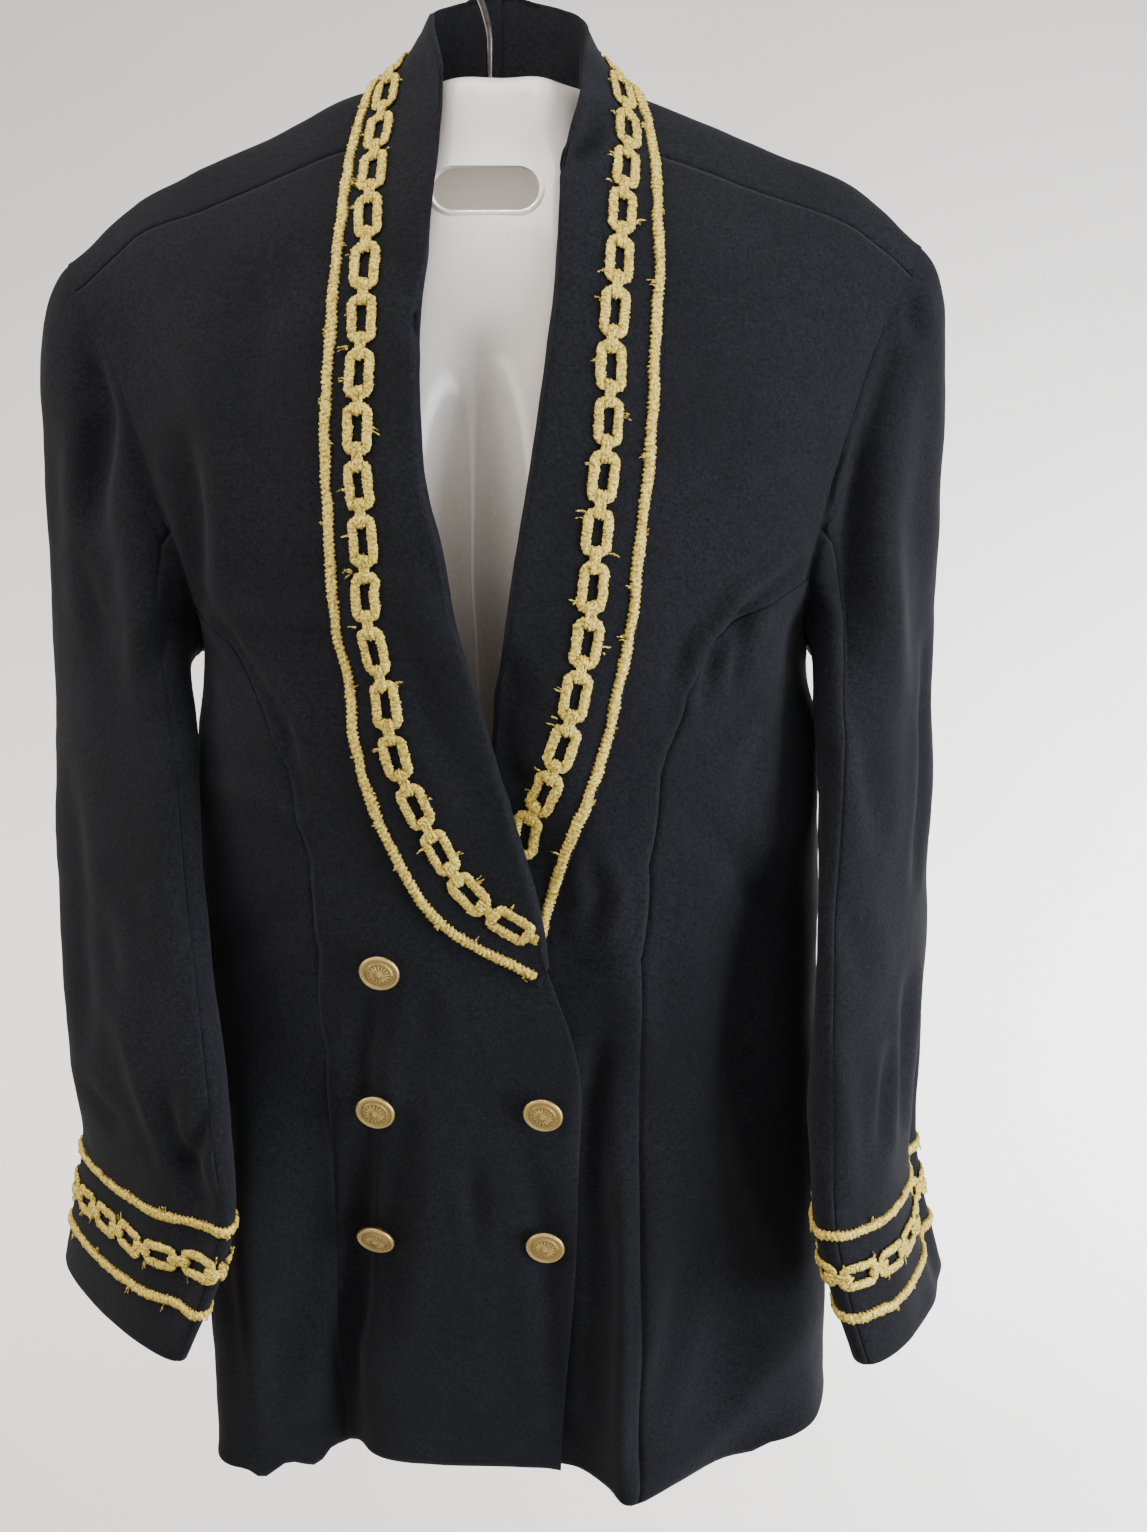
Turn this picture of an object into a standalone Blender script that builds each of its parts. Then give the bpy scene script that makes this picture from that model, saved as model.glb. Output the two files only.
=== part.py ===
"""Double-breasted blazer with gold chain trim, hung on a hollow torso form with a wire hook.

The origin is the underside of the hook's crown, where it rests on a rod. +Z is up and the blazer's
front faces -Y. Left and right are the viewer's, so "left" is the wearer's right front, which lies on
top. Tables are in millimetres and degrees, and everything that is built is in metres.

The body cloth is one surface, cloth(u, v). v counts the levels of LEVELS, from the front hem (0) up to
the shoulder ridge (RIDGE) and down the back to its hem (2 * RIDGE). u runs from the left side seam or
armhole (-1) to the right one (1). Panels are cut out of that surface along their seams.
"""

import math

import bmesh
import bpy
import numpy as np
from mathutils import Vector
from mathutils.bvhtree import BVHTree

MM = 0.001

# Driving sizes, in millimetres
CLOTH = 1.8
COLLAR = 1.6
SEAM_GAP = 0.3
ROLL_RISE = 2.0
ROLL_RETURN = 7.0
TRIM_GAP = 0.3
BRAID_WIDTH = 6.0
BRAID_HEIGHT = 2.2
BRAID_INSET = 3.4
BRAID_SECTION = ((-0.5, 0.4), (0.0, 1.0), (0.5, 0.4))
CHAIN_PITCH = 27.0
CHAIN_WIDTH = 16.0
CHAIN_HEIGHT = 2.4
# How far the chain runs inside the collar's outer edge, as (level, inset) from the hem end up
CHAIN_INSETS = {
    "left": ((-510, 25.4), (-468, 26.4), (-427, 23.9), (-381, 22.4), (-329, 22.4), (-273, 21.4), (-219, 20.9),
             (-163, 18.9), (-108, 17.4), (-60, 16.4)),
    "right": ((-468, 26.9), (-427, 25.4), (-381, 23.9), (-329, 24.4), (-273, 25.4), (-219, 25.9), (-163, 23.4),
              (-108, 16.9), (-60, 15.9)),
}
LINK_LENGTH = 23.0
LINK_CORNER = 4.0
HOLE_LENGTH = 14.0
HOLE_WIDTH = 7.0
SIDE_TIP = 5.0
SETTLE_CLEAR = 0.15
SETTLE_STEP = 0.1
SETTLE_ROUNDS = 60
FORM_WALL = 2.2
FORM_TOP = -85.0
WIRE_DIAMETER = 3.8
CROWN_RADIUS = 21.0

# Levels of the body cloth, from the hem up to the shoulder ridge
# Columns: z_front, z_back, z_side, y_front, y_back, y_side_front, y_side_back, x_middle, half_width,
# squareness, sweep
LEVELS = (
    (-836, -838, -842, -92, 66, -10, -10, 10, 184, 3.0, 1.0),  # hem
    (-760, -760, -762, -100, 66, -6, -6, 8, 185, 2.8, 1.0),
    (-670, -670, -672, -104, 64, -2, -2, 3, 182, 2.5, 1.0),  # hip
    (-590, -590, -590, -107, 60, 0, 0, 2, 179, 2.3, 1.0),
    (-510, -510, -510, -112, 57, 2, 2, 3, 177, 2.15, 1.0),  # waist
    (-440, -440, -440, -118, 64, 4, 4, 3, 175.5, 2.15, 1.0),
    (-378, -378, -378, -120, 74, 5, 5, 3, 167, 2.25, 1.0),  # underarm
    (-350, -350, -354, -119, 78, -34, 40, 1, 162, 2.35, 0.97),
    (-318, -318, -330, -116, 82, -47, 52, 0, 163, 2.3, 0.94),
    (-268, -268, -290, -108, 84, -45, 54, -1, 174, 2.2, 0.91),  # bust
    (-208, -205, -243, -93, 82, -33, 48, -2, 190, 2.1, 0.88),
    (-150, -128, -208, -70, 70, -20, 36, -2, 205, 2.0, 0.84),
    (-100, -76, -184, -31, 44, -9, 22, -2, 220, 2.0, 0.8),  # shoulder seam in front, neck at the back
    (-68, -68, -168, 6, 6, 6, 6, -2, 224, 2.0, 0.8),  # shoulder ridge
)
RIDGE = len(LEVELS) - 1
BACK_HEM = 2 * RIDGE
# How far the shoulder has dropped, by the distance from its middle to the left and to the right
DROP_LEFT = ((0, 0), (0.2, 0.1), (0.3, 0.2), (0.424, 0.346), (0.58, 0.51), (0.714, 0.634),
             (0.839, 0.765), (1, 1))
DROP_RIGHT = ((0, 0), (0.2, 0.09), (0.384, 0.265), (0.54, 0.435), (0.683, 0.535), (0.808, 0.65),
              (0.924, 0.79), (1, 0.91))

# Seams and free edges of the front, as (level z, x)
PRINCESS_LEFT = (
    (-836, -94), (-726, -94), (-633, -92), (-547, -92), (-492, -92), (-440, -100),
    (-400, -115), (-366, -134), (-346, -157), (-336, -185), (-322, -260),
)
PRINCESS_RIGHT = (
    (-836, 75), (-789, 75), (-662, 72), (-547, 72), (-465, 77), (-397, 86),
    (-363, 104), (-338, 135), (-322, 166), (-314, 190), (-302, 260),
)
PRINCESS_BACK = (
    (-838, 104), (-760, 98), (-670, 92), (-590, 84), (-510, 80), (-440, 88),
    (-378, 108), (-340, 132), (-306, 166), (-296, 190), (-284, 260),
)
EDGE_LEFT = (
    (-836, 33), (-777, 35), (-713, 41), (-623, 43), (-580, 43), (-550, 34), (-530, 27),
    (-485, 18), (-429, 3), (-378, -8), (-320, -19), (-268, -31), (-208, -36), (-165, -37),
    (-140, -41), (-120, -47), (-100, -52),
)
EDGE_RIGHT = (
    (-836, -57), (-623, -57), (-580, -57), (-550, -53), (-530, -47), (-470, -14), (-429, 0),
    (-395, 1), (-370, 3), (-325, 8), (-254, 19), (-200, 27), (-165, 32), (-140, 40),
    (-120, 48), (-100, 56),
)
# Back neckline, as (level, x): from the shoulder seam round to the centre back seam
NECK_LEFT = ((12.0, -52), (13.0, -50), (13.3, -47), (13.6, -39), (13.9, -20), (14.0, 2))
NECK_RIGHT = ((12.0, 56), (13.0, 54), (13.3, 51), (13.6, 43), (13.9, 24), (14.0, 2))

# Rows and columns of the panels: levels of the cloth, and fractions from seam to seam. The back has the
# front's rows below the armhole, so both sides of a side seam meet corner to corner.
HEM_LEVELS = (0.0, 0.4, 1.0, 1.7, 2.4, 3.1, 3.8, 4.5, 5.2, 5.9)
FRONT_LEVELS = HEM_LEVELS + (6.5, 7.2, 8.1, 9.0, 9.9, 10.8, 11.4, 12.0)
BACK_LEVELS = (12.0, 12.35, 12.7, 13.0, 13.3, 13.6, 13.9, 14.0, 14.6, 15.4, 16.4, 17.4, 18.4, 19.3)
CENTRE_COLUMNS = (0, 0.14, 0.3, 0.45, 0.6, 0.75, 0.89, 1)
SIDE_COLUMNS = (0, 0.25, 0.5, 0.75, 1)

# How deep the under front sinks where it passes behind the over front, as (z, depth)
UNDER_SINK = ((-836, 5.0), (-610, 5.0), (-556, 10.5), (-400, 10.5), (-372, 7.0), (-335, 0.0))
SINK_REACH = 8.0
SINK_BLEND = 30.0

# Largest folds of the body, as troughs (below zero) and ridges (above zero)
# Columns: x_top, z_top, x_low, z_low, depth, width_top, width_low
FRONT_FOLDS = (
    (-90, -545, -92, -900, -22, 9, 13),  # trough beside the left princess seam
    (-128, -560, -150, -900, 24, 20, 20),  # ridge that swings out over it
    (-122, -760, -131, -900, -10, 4, 9),  # notch between two hem waves
    (-62, -540, -58, -740, -4, 10, 14),
    (70, -560, 78, -900, 17, 16, 18),  # ridge under the right button row
    (118, -690, 128, -900, -9, 12, 20),
    (160, -700, 140, -900, 9, 12, 16),
    (30, -260, -20, -520, -3, 14, 20),
    (-120, -250, -70, -400, -5, 16, 22),
    (118, -240, 84, -390, -5, 16, 22),
    (-150, -200, -120, -330, 4, 12, 14),
)
BACK_FOLDS = (
    (-118, -300, -60, -500, -6, 16, 22),
    (116, -290, 62, -510, -6, 16, 22),
    (-60, -560, -72, -900, -15, 14, 24),
    (-112, -600, -128, -900, 12, 16, 24),
    (0, -520, 4, -900, 9, 20, 30),
    (66, -560, 70, -900, -14, 14, 24),
    (120, -620, 124, -900, 12, 16, 24),
    (0, -150, 0, -330, -4, 26, 34),
)

# Sleeve rings below the cap: the ring is an ellipse whose long axis is turned in plan
# Columns: z, x, y, half_long, half_thick, turn
RINGS_LEFT = (
    (-405, -213, -8, 70, 27, 50),
    (-495, -208, -36, 73, 27, 48),
    (-594, -200.5, -64, 75, 25, 47),
    (-664, -194, -75, 75, 19, 46),
    (-740, -215, -75, 73, 14, 50),
)
RINGS_RIGHT = (
    (-405, 206, -10, 74, 26, 64),
    (-495, 206, -35, 75, 24, 62),
    (-594, 205, -60, 74, 23, 62),
    (-664, 205, -72, 70, 21, 63),
    (-740, 224, -76, 66, 18, 62),
)
# Columns of the sleeve halves, as angles round the ring, from the back seam to the front seam
TOP_ANGLES = (8, 24, 38, 50, 62, 78, 98, 120, 144, 168)
UNDER_ANGLES = (168, 196, 222, 246, 268, 290, 312, 340, 368)
# Where round the sleeve each point of the armhole leads, as (angle, level)
ARMHOLE = ((-110, 20.0), (-30, 16.8), (50, 13.0), (150, 9.2), (250, 6.0))
CAP_STEPS = (0.0, 0.07, 0.18, 0.32, 0.48, 0.64, 0.82, 1.0)
RING_STEPS = (0.45, 1.0, 1.5, 2.0, 2.5, 3.0, 3.5, 4.0)
# Folds of the sleeves, round the ring and down it
# Columns: angle, z_top, z_low, depth, half_width in degrees
SLEEVE_FOLDS_LEFT = (
    (118, -215, -420, -5, 14),
    (78, -230, -370, -3, 12),
    (142, -600, -735, -6, 14),
    (60, -520, -640, 3, 22),
    (222, -420, -560, -6, 22),
    (300, -480, -640, -5, 24),
)
SLEEVE_FOLDS_RIGHT = (
    (58, -560, -745, -8, 14),
    (96, -235, -420, -4, 14),
    (140, -260, -430, -3, 12),
    (120, -600, -740, 4, 20),
    (222, -420, -560, -6, 22),
    (300, -480, -640, -5, 24),
)

# Collar stations from the left end, up the left front, round the back neck and down the right.
# base: where the roll line leaves the panel's edge. out: the outer edge. roll: how far the top of
# the roll stands from the base. A positive base or out is a level over the shoulder, others are z.
# Columns: base, out_x, out, roll_x, roll_y, roll_z
COLLAR_LEFT = (
    (-526, 23, -535, 0, 0, 0),
    (-512, 7, -525, 0, 0, 0),
    (-492, -13, -514, 0, 0, 0),
    (-465, -34, -497, 0, 0, 0),
    (-430, -54, -461, 0, 0, 0),
    (-380, -71, -402, 0, 0, 0),
    (-320, -80, -338, 0, 0, 0),
    (-268, -82, -280, 0, 0, 0),
    (-208, -81, -215, 0, 0, 0),
    (-165, -78, -168, 3, -2, 2),
    (-130, -75, -133, 14, -7, 5),
    (12.0, -68, 12.55, 24, -8, 18),
    (13.0, -60, 13.3, 19, -5, 23),
    (13.3, -58, 13.6, 16, 0, 29),
    (13.6, -52, 14.0, 12, 6, 35),
    (13.9, -30, 14.45, 6, 9, 41),
)
COLLAR_RIGHT = (
    (-470, 23, -520, 0, 0, 0),
    (-450, 33, -489, 0, 0, 0),
    (-422, 46, -444, 0, 0, 0),
    (-380, 62, -392, 0, 0, 0),
    (-325, 72, -333, 0, 0, 0),
    (-254, 79, -262, 0, 0, 0),
    (-200, 82, -207, 0, 0, 0),
    (-160, 84, -163, -2, -2, 2),
    (-126, 83, -128, -9, -7, 5),
    (12.0, 78, 12.5, -9, -8, 18),
    (13.0, 66, 13.3, -10, -5, 23),
    (13.3, 63, 13.6, -10, 0, 29),
    (13.6, 56, 14.0, -8, 6, 35),
    (13.9, 31, 14.45, -5, 9, 41),
)
COLLAR_BACK = ((14.0, 1, 14.55, 0, 9, 43),)
COLLAR_FALL_STEPS = (0.14, 0.4, 0.7, 1.0)

# Cuff trims, as z levels round the sleeve
CUFF_UPPER_BRAID = -664
CUFF_CHAIN = -688
CUFF_LOWER_BRAID = -712

# Buttons on the over front: place, then how far the face droops and turns aside, in degrees
BUTTONS = (
    (-59, -525, 17, 5),
    (-64, -605, 16, 9),
    (-68, -686, 27, 12),
    (25, -604, 16, 9),
    (25, -686, 15, 6),
)
# Turned profile of a button from its front, as (radius, height above the cloth)
BUTTON_PROFILE = (
    (0.0, 9.4), (4.6, 9.0), (8.2, 7.7), (9.3, 8.1), (10.75, 7.0), (9.6, 5.2),
    (2.4, 4.2), (2.0, 0.0), (0.0, 0.0),
)
BUTTON_SIDES = 12
SHANK_RADIUS = 2.0

# Torso form: how far it lies inside the cloth, as (level, inset)
FORM_INSET = (
    (3.3, 20), (5.6, 20), (6.4, 17), (7.4, 12), (9.0, 8.5), (10.0, 8), (11.0, 6.5), (12.0, 5.0), (12.35, 4.4),
    (12.7, 3.6), (13.0, 2.5), (13.3, 3.6), (14.0, 5.0), (15.2, 8), (17.0, 11), (19.0, 13), (22.7, 16),
)
FORM_ROWS = (3.3, 4.4, 5.6, 6.8, 8.0, 9.2, 10.2, 11.0, 11.5, 12.0, 12.35, 12.7, 13.0,
             13.3, 13.6, 14.0, 14.5, 15.2, 17.0, 19.5, 21.2, 22.7)
FORM_COLUMNS = (-1.0, -0.8, -0.58, -0.37, -0.24, -0.16, -0.12, -0.07, 0.02,
                0.1, 0.15, 0.19, 0.26, 0.38, 0.58, 0.8, 1.0)
NECK_X = 3.5
NECK_HALF = 34.0
NECK_FOOT = 43.0
NECK_ROWS = ((10.6, -172, -78, 0.0), (11.3, -142, -60, 0.35), (11.8, -112, -45, 0.85), (12.2, -90, -36, 1.0),
             (12.6, -85, -26, 1.0), (13.0, -84.5, 0, 1.0), (13.4, -85, 26, 1.0), (13.8, -92, 34, 1.0),
             (14.3, -110, 40, 0.8), (15.0, -128, 52, 0.0))
SLOT_CENTRE = (-3.0, -140.0)
SLOT_LENGTH = 52.0
SLOT_HEIGHT = 21.0
WIRE_X = -3.0
WIRE_BEND = ((-3.0, -62.0), (-4.4, -54.0), (-7.4, -44.5), (-12.6, -36.0))
HOOK_START = 205
HOOK_END = -32
NUT_RADIUS = 5.2
NUT_HEIGHT = 5.0

COLOURS = {
    "crepe": (0.012, 0.014, 0.020, 1.0),
    "gold_yarn": (0.55, 0.40, 0.14, 1.0),
    "gold_metal": (0.62, 0.46, 0.20, 1.0),
    "white_plastic": (0.78, 0.79, 0.80, 1.0),
    "steel": (0.55, 0.55, 0.56, 1.0),
}
FINISH = {
    "crepe": (0.9, 0.0),
    "gold_yarn": (0.45, 0.6),
    "gold_metal": (0.35, 1.0),
    "white_plastic": (0.25, 0.0),
    "steel": (0.3, 1.0),
}


# Helpers for tables and curves
def curve_through(knots, values, at):
    """Reads a smooth curve through a short table: a cubic that never overshoots its rows."""
    knots = np.asarray(knots, float)
    values = np.asarray(values, float)
    flat = values.ndim == 1
    if flat:
        values = values[:, None]
    if knots[0] > knots[-1]:
        knots, values = knots[::-1], values[::-1]
    at = np.clip(np.asarray(at, float), knots[0], knots[-1])
    step = np.diff(knots)
    slope = np.diff(values, axis=0) / step[:, None]
    tangent = np.zeros_like(values)
    tangent[0], tangent[-1] = slope[0], slope[-1]
    before, after = slope[:-1], slope[1:]
    same = before * after > 0
    total = np.where(same, before + after, 1.0)
    tangent[1:-1] = np.where(same, 2 * before * after / total, 0.0)
    i = np.clip(np.searchsorted(knots, at, side="right") - 1, 0, len(knots) - 2)
    span = step[i][..., None]
    t = (at - knots[i])[..., None] / span
    read = (
        (2 * t**3 - 3 * t**2 + 1) * values[i]
        + (t**3 - 2 * t**2 + t) * span * tangent[i]
        + (3 * t**2 - 2 * t**3) * values[i + 1]
        + (t**3 - t**2) * span * tangent[i + 1]
    )
    return read[..., 0] if flat else read


def soft_step(t):
    t = np.clip(t, 0.0, 1.0)
    return t * t * (3 - 2 * t)


def unit(vectors):
    length = np.linalg.norm(vectors, axis=-1, keepdims=True)
    return vectors / np.maximum(length, 1e-12)


def facing(normals, outside):
    """The normals, turned round as a whole if they point against the outside directions."""
    return normals if np.sum(normals * outside) > 0 else -normals


def table_column(table, number):
    return [row[number] for row in table]


# Body cloth
def level_rows():
    """All levels in order: front hem to ridge, then ridge to back hem."""
    front = [(r[0], r[2], r[3], r[5], *r[7:]) for r in LEVELS]
    back = [(r[1], r[2], r[4], r[6], *r[7:]) for r in LEVELS]
    return np.array(front + back[-2::-1], float)


LEVEL_ROWS = level_rows()


def level_at(v):
    return curve_through(range(len(LEVEL_ROWS)), LEVEL_ROWS, v)


def plain_cloth(u, v):
    """The body surface without folds."""
    z_mid, z_side, y_mid, y_side, x_mid, half, square, sweep = np.moveaxis(level_at(v), -1, 0)
    across = np.sin(u * math.pi / 2)
    sweep = np.clip(sweep, 0, 1)
    bend = np.clip(1 - np.abs(sweep * across) ** square, 0, 1) ** (1 / square)
    end = np.clip(1 - sweep**square, 0, 1) ** (1 / square)
    depth = (bend - end) / (1 - end)
    x = x_mid + half * across
    y = y_side + (y_mid - y_side) * depth
    left = curve_through(table_column(DROP_LEFT, 0), table_column(DROP_LEFT, 1), -across)
    right = curve_through(table_column(DROP_RIGHT, 0), table_column(DROP_RIGHT, 1), across)
    z = z_mid + (z_side - z_mid) * (left + right)
    return np.stack([x, y, z], axis=-1) * MM


def difference_normal(surface, u, v, u_low=-1.0, u_high=1.0, h=0.02):
    """Outward unit normal of a surface from its neighbours."""
    along_u = surface(np.minimum(u + h, u_high), v) - surface(np.maximum(u - h, u_low), v)
    along_v = surface(u, np.minimum(v + h, BACK_HEM)) - surface(u, np.maximum(v - h, 0.0))
    return unit(np.cross(along_u, along_v))


def fold_height(x, z, table):
    """Sum of the folds of a table at places on the cloth, in millimetres."""
    total = np.zeros_like(x)
    for x_top, z_top, x_low, z_low, depth, width_top, width_low in table:
        t = (z_top - z) / (z_top - z_low)
        centre = x_top + (x_low - x_top) * t
        width = width_top + (width_low - width_top) * np.clip(t, 0, 1)
        runs = soft_step(t / 0.45) * soft_step((1.0 - t) / 0.18)
        total += depth * runs * np.exp(-(((x - centre) / width) ** 2))
    return total


def sink_depth(x, z):
    """How far the under front lies below the over front's surface."""
    edge = curve_through(table_column(EDGE_LEFT, 0), table_column(EDGE_LEFT, 1), z)
    depth = curve_through(table_column(UNDER_SINK, 0), table_column(UNDER_SINK, 1), z)
    return depth * soft_step((edge + SINK_REACH + SINK_BLEND - x) / SINK_BLEND)


def cloth(u, v, under=0.0, lift=0.0):
    """Outer face of the body cloth with its folds, moved out by lift (millimetres)."""
    u, v = np.broadcast_arrays(np.asarray(u, float), np.asarray(v, float))
    point = plain_cloth(u, v)
    normal = difference_normal(plain_cloth, u, v)
    x, z = point[..., 0] / MM, point[..., 2] / MM
    front = v < RIDGE
    calm = 1 - np.abs(np.sin(u * math.pi / 2)) ** 10
    height = np.where(front, fold_height(x, z, FRONT_FOLDS), fold_height(x, z, BACK_FOLDS)) * calm
    height = height - under * np.where(front, sink_depth(x, z), 0.0) + lift
    return point + normal * height[..., None] * MM


def cloth_normal(u, v, under=0.0):
    return difference_normal(lambda a, b: cloth(a, b, under), u, v)


def level_of(z, back=False):
    """The level number whose middle lies at height z."""
    fine = np.linspace(RIDGE, BACK_HEM, 1301) if back else np.linspace(0, RIDGE, 1301)
    heights = level_at(fine)[:, 0]
    order = np.argsort(heights)
    return np.interp(z, heights[order], fine[order])


def across_of(x, v):
    """The u of a place x on level v, kept inside the cloth's ends."""
    row = level_at(v)
    return np.arcsin(np.clip((x - row[..., 4]) / row[..., 5], -1, 1)) * 2 / math.pi


def seam(table, v):
    """u of a seam or edge table along levels v."""
    z = level_at(v)[..., 0]
    x = curve_through(table_column(table, 0), table_column(table, 1), z)
    return across_of(x, v)


# Meshes
def finish_mesh(name, mesh, material, smooth=True):
    """Makes the mesh's object in the blazer's collection."""
    made = bpy.data.objects.new(name, mesh)
    bpy.data.collections["blazer"].objects.link(made)
    mesh.materials.append(bpy.data.materials[material])
    if smooth:
        mesh.shade_smooth()
        mesh.set_sharp_from_angle(angle=math.radians(50))
    return made


def mesh_from(name, build):
    """Runs a bmesh builder, turns every face outwards and returns the mesh."""
    work = bmesh.new()
    build(work)
    bmesh.ops.recalc_face_normals(work, faces=work.faces)
    bmesh.ops.triangulate(work, faces=work.faces)
    mesh = bpy.data.meshes.new(name)
    work.to_mesh(mesh)
    work.free()
    return mesh


def wall_mesh(name, outer, inner, closed=False):
    """A wall between two grids of points, closed round its rim. closed joins the first and last row."""
    rows, columns = outer.shape[:2]

    def build(work):
        faces = []
        for grid in (outer, inner):
            faces.append([[work.verts.new(point) for point in row] for row in grid])
        out, into = faces
        last = rows if closed else rows - 1
        for j in range(last):
            k = (j + 1) % rows
            for i in range(columns - 1):
                work.faces.new((out[j][i], out[j][i + 1], out[k][i + 1], out[k][i]))
                work.faces.new((into[j][i], into[k][i], into[k][i + 1], into[j][i + 1]))
            for i in (0, columns - 1):
                work.faces.new((out[j][i], out[k][i], into[k][i], into[j][i]))
        if not closed:
            for j in (0, rows - 1):
                for i in range(columns - 1):
                    work.faces.new((out[j][i], out[j][i + 1], into[j][i + 1], into[j][i]))

    return mesh_from(name, build)


def grid_normals(grid, closed=False):
    """Normals of a grid of points, from the mean of the unit steps on each side."""

    def steps(axis, wrap):
        forward = unit(np.roll(grid, -1, axis) - grid)
        backward = np.roll(forward, 1, axis)
        mean = forward + backward
        if not wrap:
            first = [slice(None)] * 3
            last = [slice(None)] * 3
            first[axis], last[axis] = 0, -1
            mean[tuple(first)] = forward[tuple(first)]
            mean[tuple(last)] = backward[tuple(last)]
        return unit(mean)

    return unit(np.cross(steps(1, closed), steps(0, False)))


def seat_of(names):
    """A search tree over the faces that a piece lies on."""
    points, faces = [], []
    for name in names:
        mesh = bpy.data.objects[name].data
        start = len(points)
        points += [vertex.co.copy() for vertex in mesh.vertices]
        faces += [[start + i for i in face.vertices] for face in mesh.polygons]
    return BVHTree.FromPolygons(points, faces)


def settle(mesh, outs, seats):
    """Moves a wall out along outs, where it would cross the seats, until it lies clear of them.

    The first half of the mesh's vertices is one face of the wall and the second half is the other."""
    half = len(mesh.vertices) // 2
    seat = seat_of(seats)
    points = np.array([vertex.co for vertex in mesh.vertices])
    faces = [list(face.vertices) for face in mesh.polygons]
    outs = np.vstack([outs, outs]) * MM
    for _ in range(SETTLE_ROUNDS):
        tree = BVHTree.FromPolygons((points - outs * SETTLE_CLEAR).tolist(), faces)
        crossing = {corner % half for face, _ in tree.overlap(seat) for corner in faces[face]}
        if not crossing:
            break
        moved = np.array(sorted(crossing))
        points[moved] += outs[moved] * SETTLE_STEP
        points[moved + half] += outs[moved] * SETTLE_STEP
    for vertex, point in zip(mesh.vertices, points):
        vertex.co = point


# Panels of the body
def panel(name, low, high, levels, columns, under=0.0):
    """A body panel between two seams. low and high give u along v; levels runs from the top to the hem."""
    v = np.repeat(np.asarray(levels, float)[:, None], len(columns), axis=1)
    u = low(v) + (high(v) - low(v)) * np.asarray(columns, float)[None, :]
    outer = cloth(u, v, under)
    inner = outer - cloth_normal(u, v, under) * CLOTH * MM
    for edge, beside in ((np.s_[:, 0], np.s_[:, 1]), (np.s_[:, -1], np.s_[:, -2]), (np.s_[0], np.s_[1])):
        step = unit(outer[beside] - outer[edge]) * SEAM_GAP / 2 * MM
        outer[edge] += step
        inner[edge] += step
    return finish_mesh(name, wall_mesh(name, outer, inner), "crepe")


def side_top(table, back=False):
    """The level where a side panel has narrowed to SIDE_TIP below the armhole."""
    levels = np.linspace(BACK_HEM, RIDGE, 900) if back else np.linspace(0, RIDGE, 900)
    inside = seam(table, levels)
    width = np.linalg.norm(plain_cloth(inside, levels) - plain_cloth(np.sign(inside), levels), axis=-1)
    return float(levels[np.argmax(width < SIDE_TIP * MM)])


def left_end(v):
    return np.full_like(v, -1.0)


def right_end(v):
    return np.full_like(v, 1.0)


def rows_below(levels, tip):
    """The levels of a side panel, which starts at tip, from its top to the hem."""
    kept = [level for level in levels if abs(level - RIDGE) > abs(tip - RIDGE)]
    return [tip, *sorted(kept, key=lambda level: abs(level - RIDGE))]


def build_fronts():
    def princess_left(v):
        return seam(PRINCESS_LEFT, v)

    def princess_right(v):
        return seam(PRINCESS_RIGHT, v)

    def edge_left(v):
        return seam(EDGE_LEFT, v)

    def edge_right(v):
        return seam(EDGE_RIGHT, v)

    tip_left, tip_right = side_top(PRINCESS_LEFT), side_top(PRINCESS_RIGHT)
    rows_left = sorted((*FRONT_LEVELS, tip_left), reverse=True)
    rows_right = sorted((*FRONT_LEVELS, tip_right), reverse=True)
    panel("front_left", princess_left, edge_left, rows_left, CENTRE_COLUMNS)
    panel("side_front_left", left_end, princess_left, rows_below(rows_left, tip_left), SIDE_COLUMNS)
    panel("front_right", edge_right, princess_right, rows_right, CENTRE_COLUMNS, under=1.0)
    panel("side_front_right", princess_right, right_end, rows_below(rows_right, tip_right), SIDE_COLUMNS,
          under=1.0)


def neck_edge(table, v):
    """u of a back panel's inner edge: round the neckline, then down the centre back seam."""
    return across_of(np.interp(v, table_column(table, 0), table_column(table, 1)), v)


def build_backs():
    def seam_left(v):
        return -seam(PRINCESS_BACK, v)

    def seam_right(v):
        return seam(PRINCESS_BACK, v)

    def inner_left(v):
        return neck_edge(NECK_LEFT, v)

    def inner_right(v):
        return neck_edge(NECK_RIGHT, v)

    tip = side_top(PRINCESS_BACK, back=True)
    rows = sorted((*BACK_LEVELS, *(BACK_HEM - level for level in HEM_LEVELS), tip))
    panel("back_left", seam_left, inner_left, rows, CENTRE_COLUMNS)
    panel("back_right", inner_right, seam_right, rows, CENTRE_COLUMNS)
    panel("side_back_left", left_end, seam_left, rows_below(rows, tip), SIDE_COLUMNS)
    panel("side_back_right", seam_right, right_end, rows_below(rows, tip), SIDE_COLUMNS)


# Sleeves
def ring_point(rings, sign, place, angle):
    """A point of the sleeve below its cap. place counts the rings, angle is in degrees."""
    z, x, y, long, thick, turn = np.moveaxis(curve_through(range(len(rings)), rings, place), -1, 0)
    turn = np.radians(turn)
    angle = np.radians(angle)
    outward = np.stack([sign * np.cos(turn), np.sin(turn), 0 * turn], -1)
    facing = np.stack([sign * np.sin(turn), -np.cos(turn), 0 * turn], -1)
    centre = np.stack([x, y, z], -1)
    around = centre + outward * (long * np.cos(angle))[..., None]
    around = around + facing * (thick * np.sin(angle))[..., None]
    return around * MM


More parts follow.
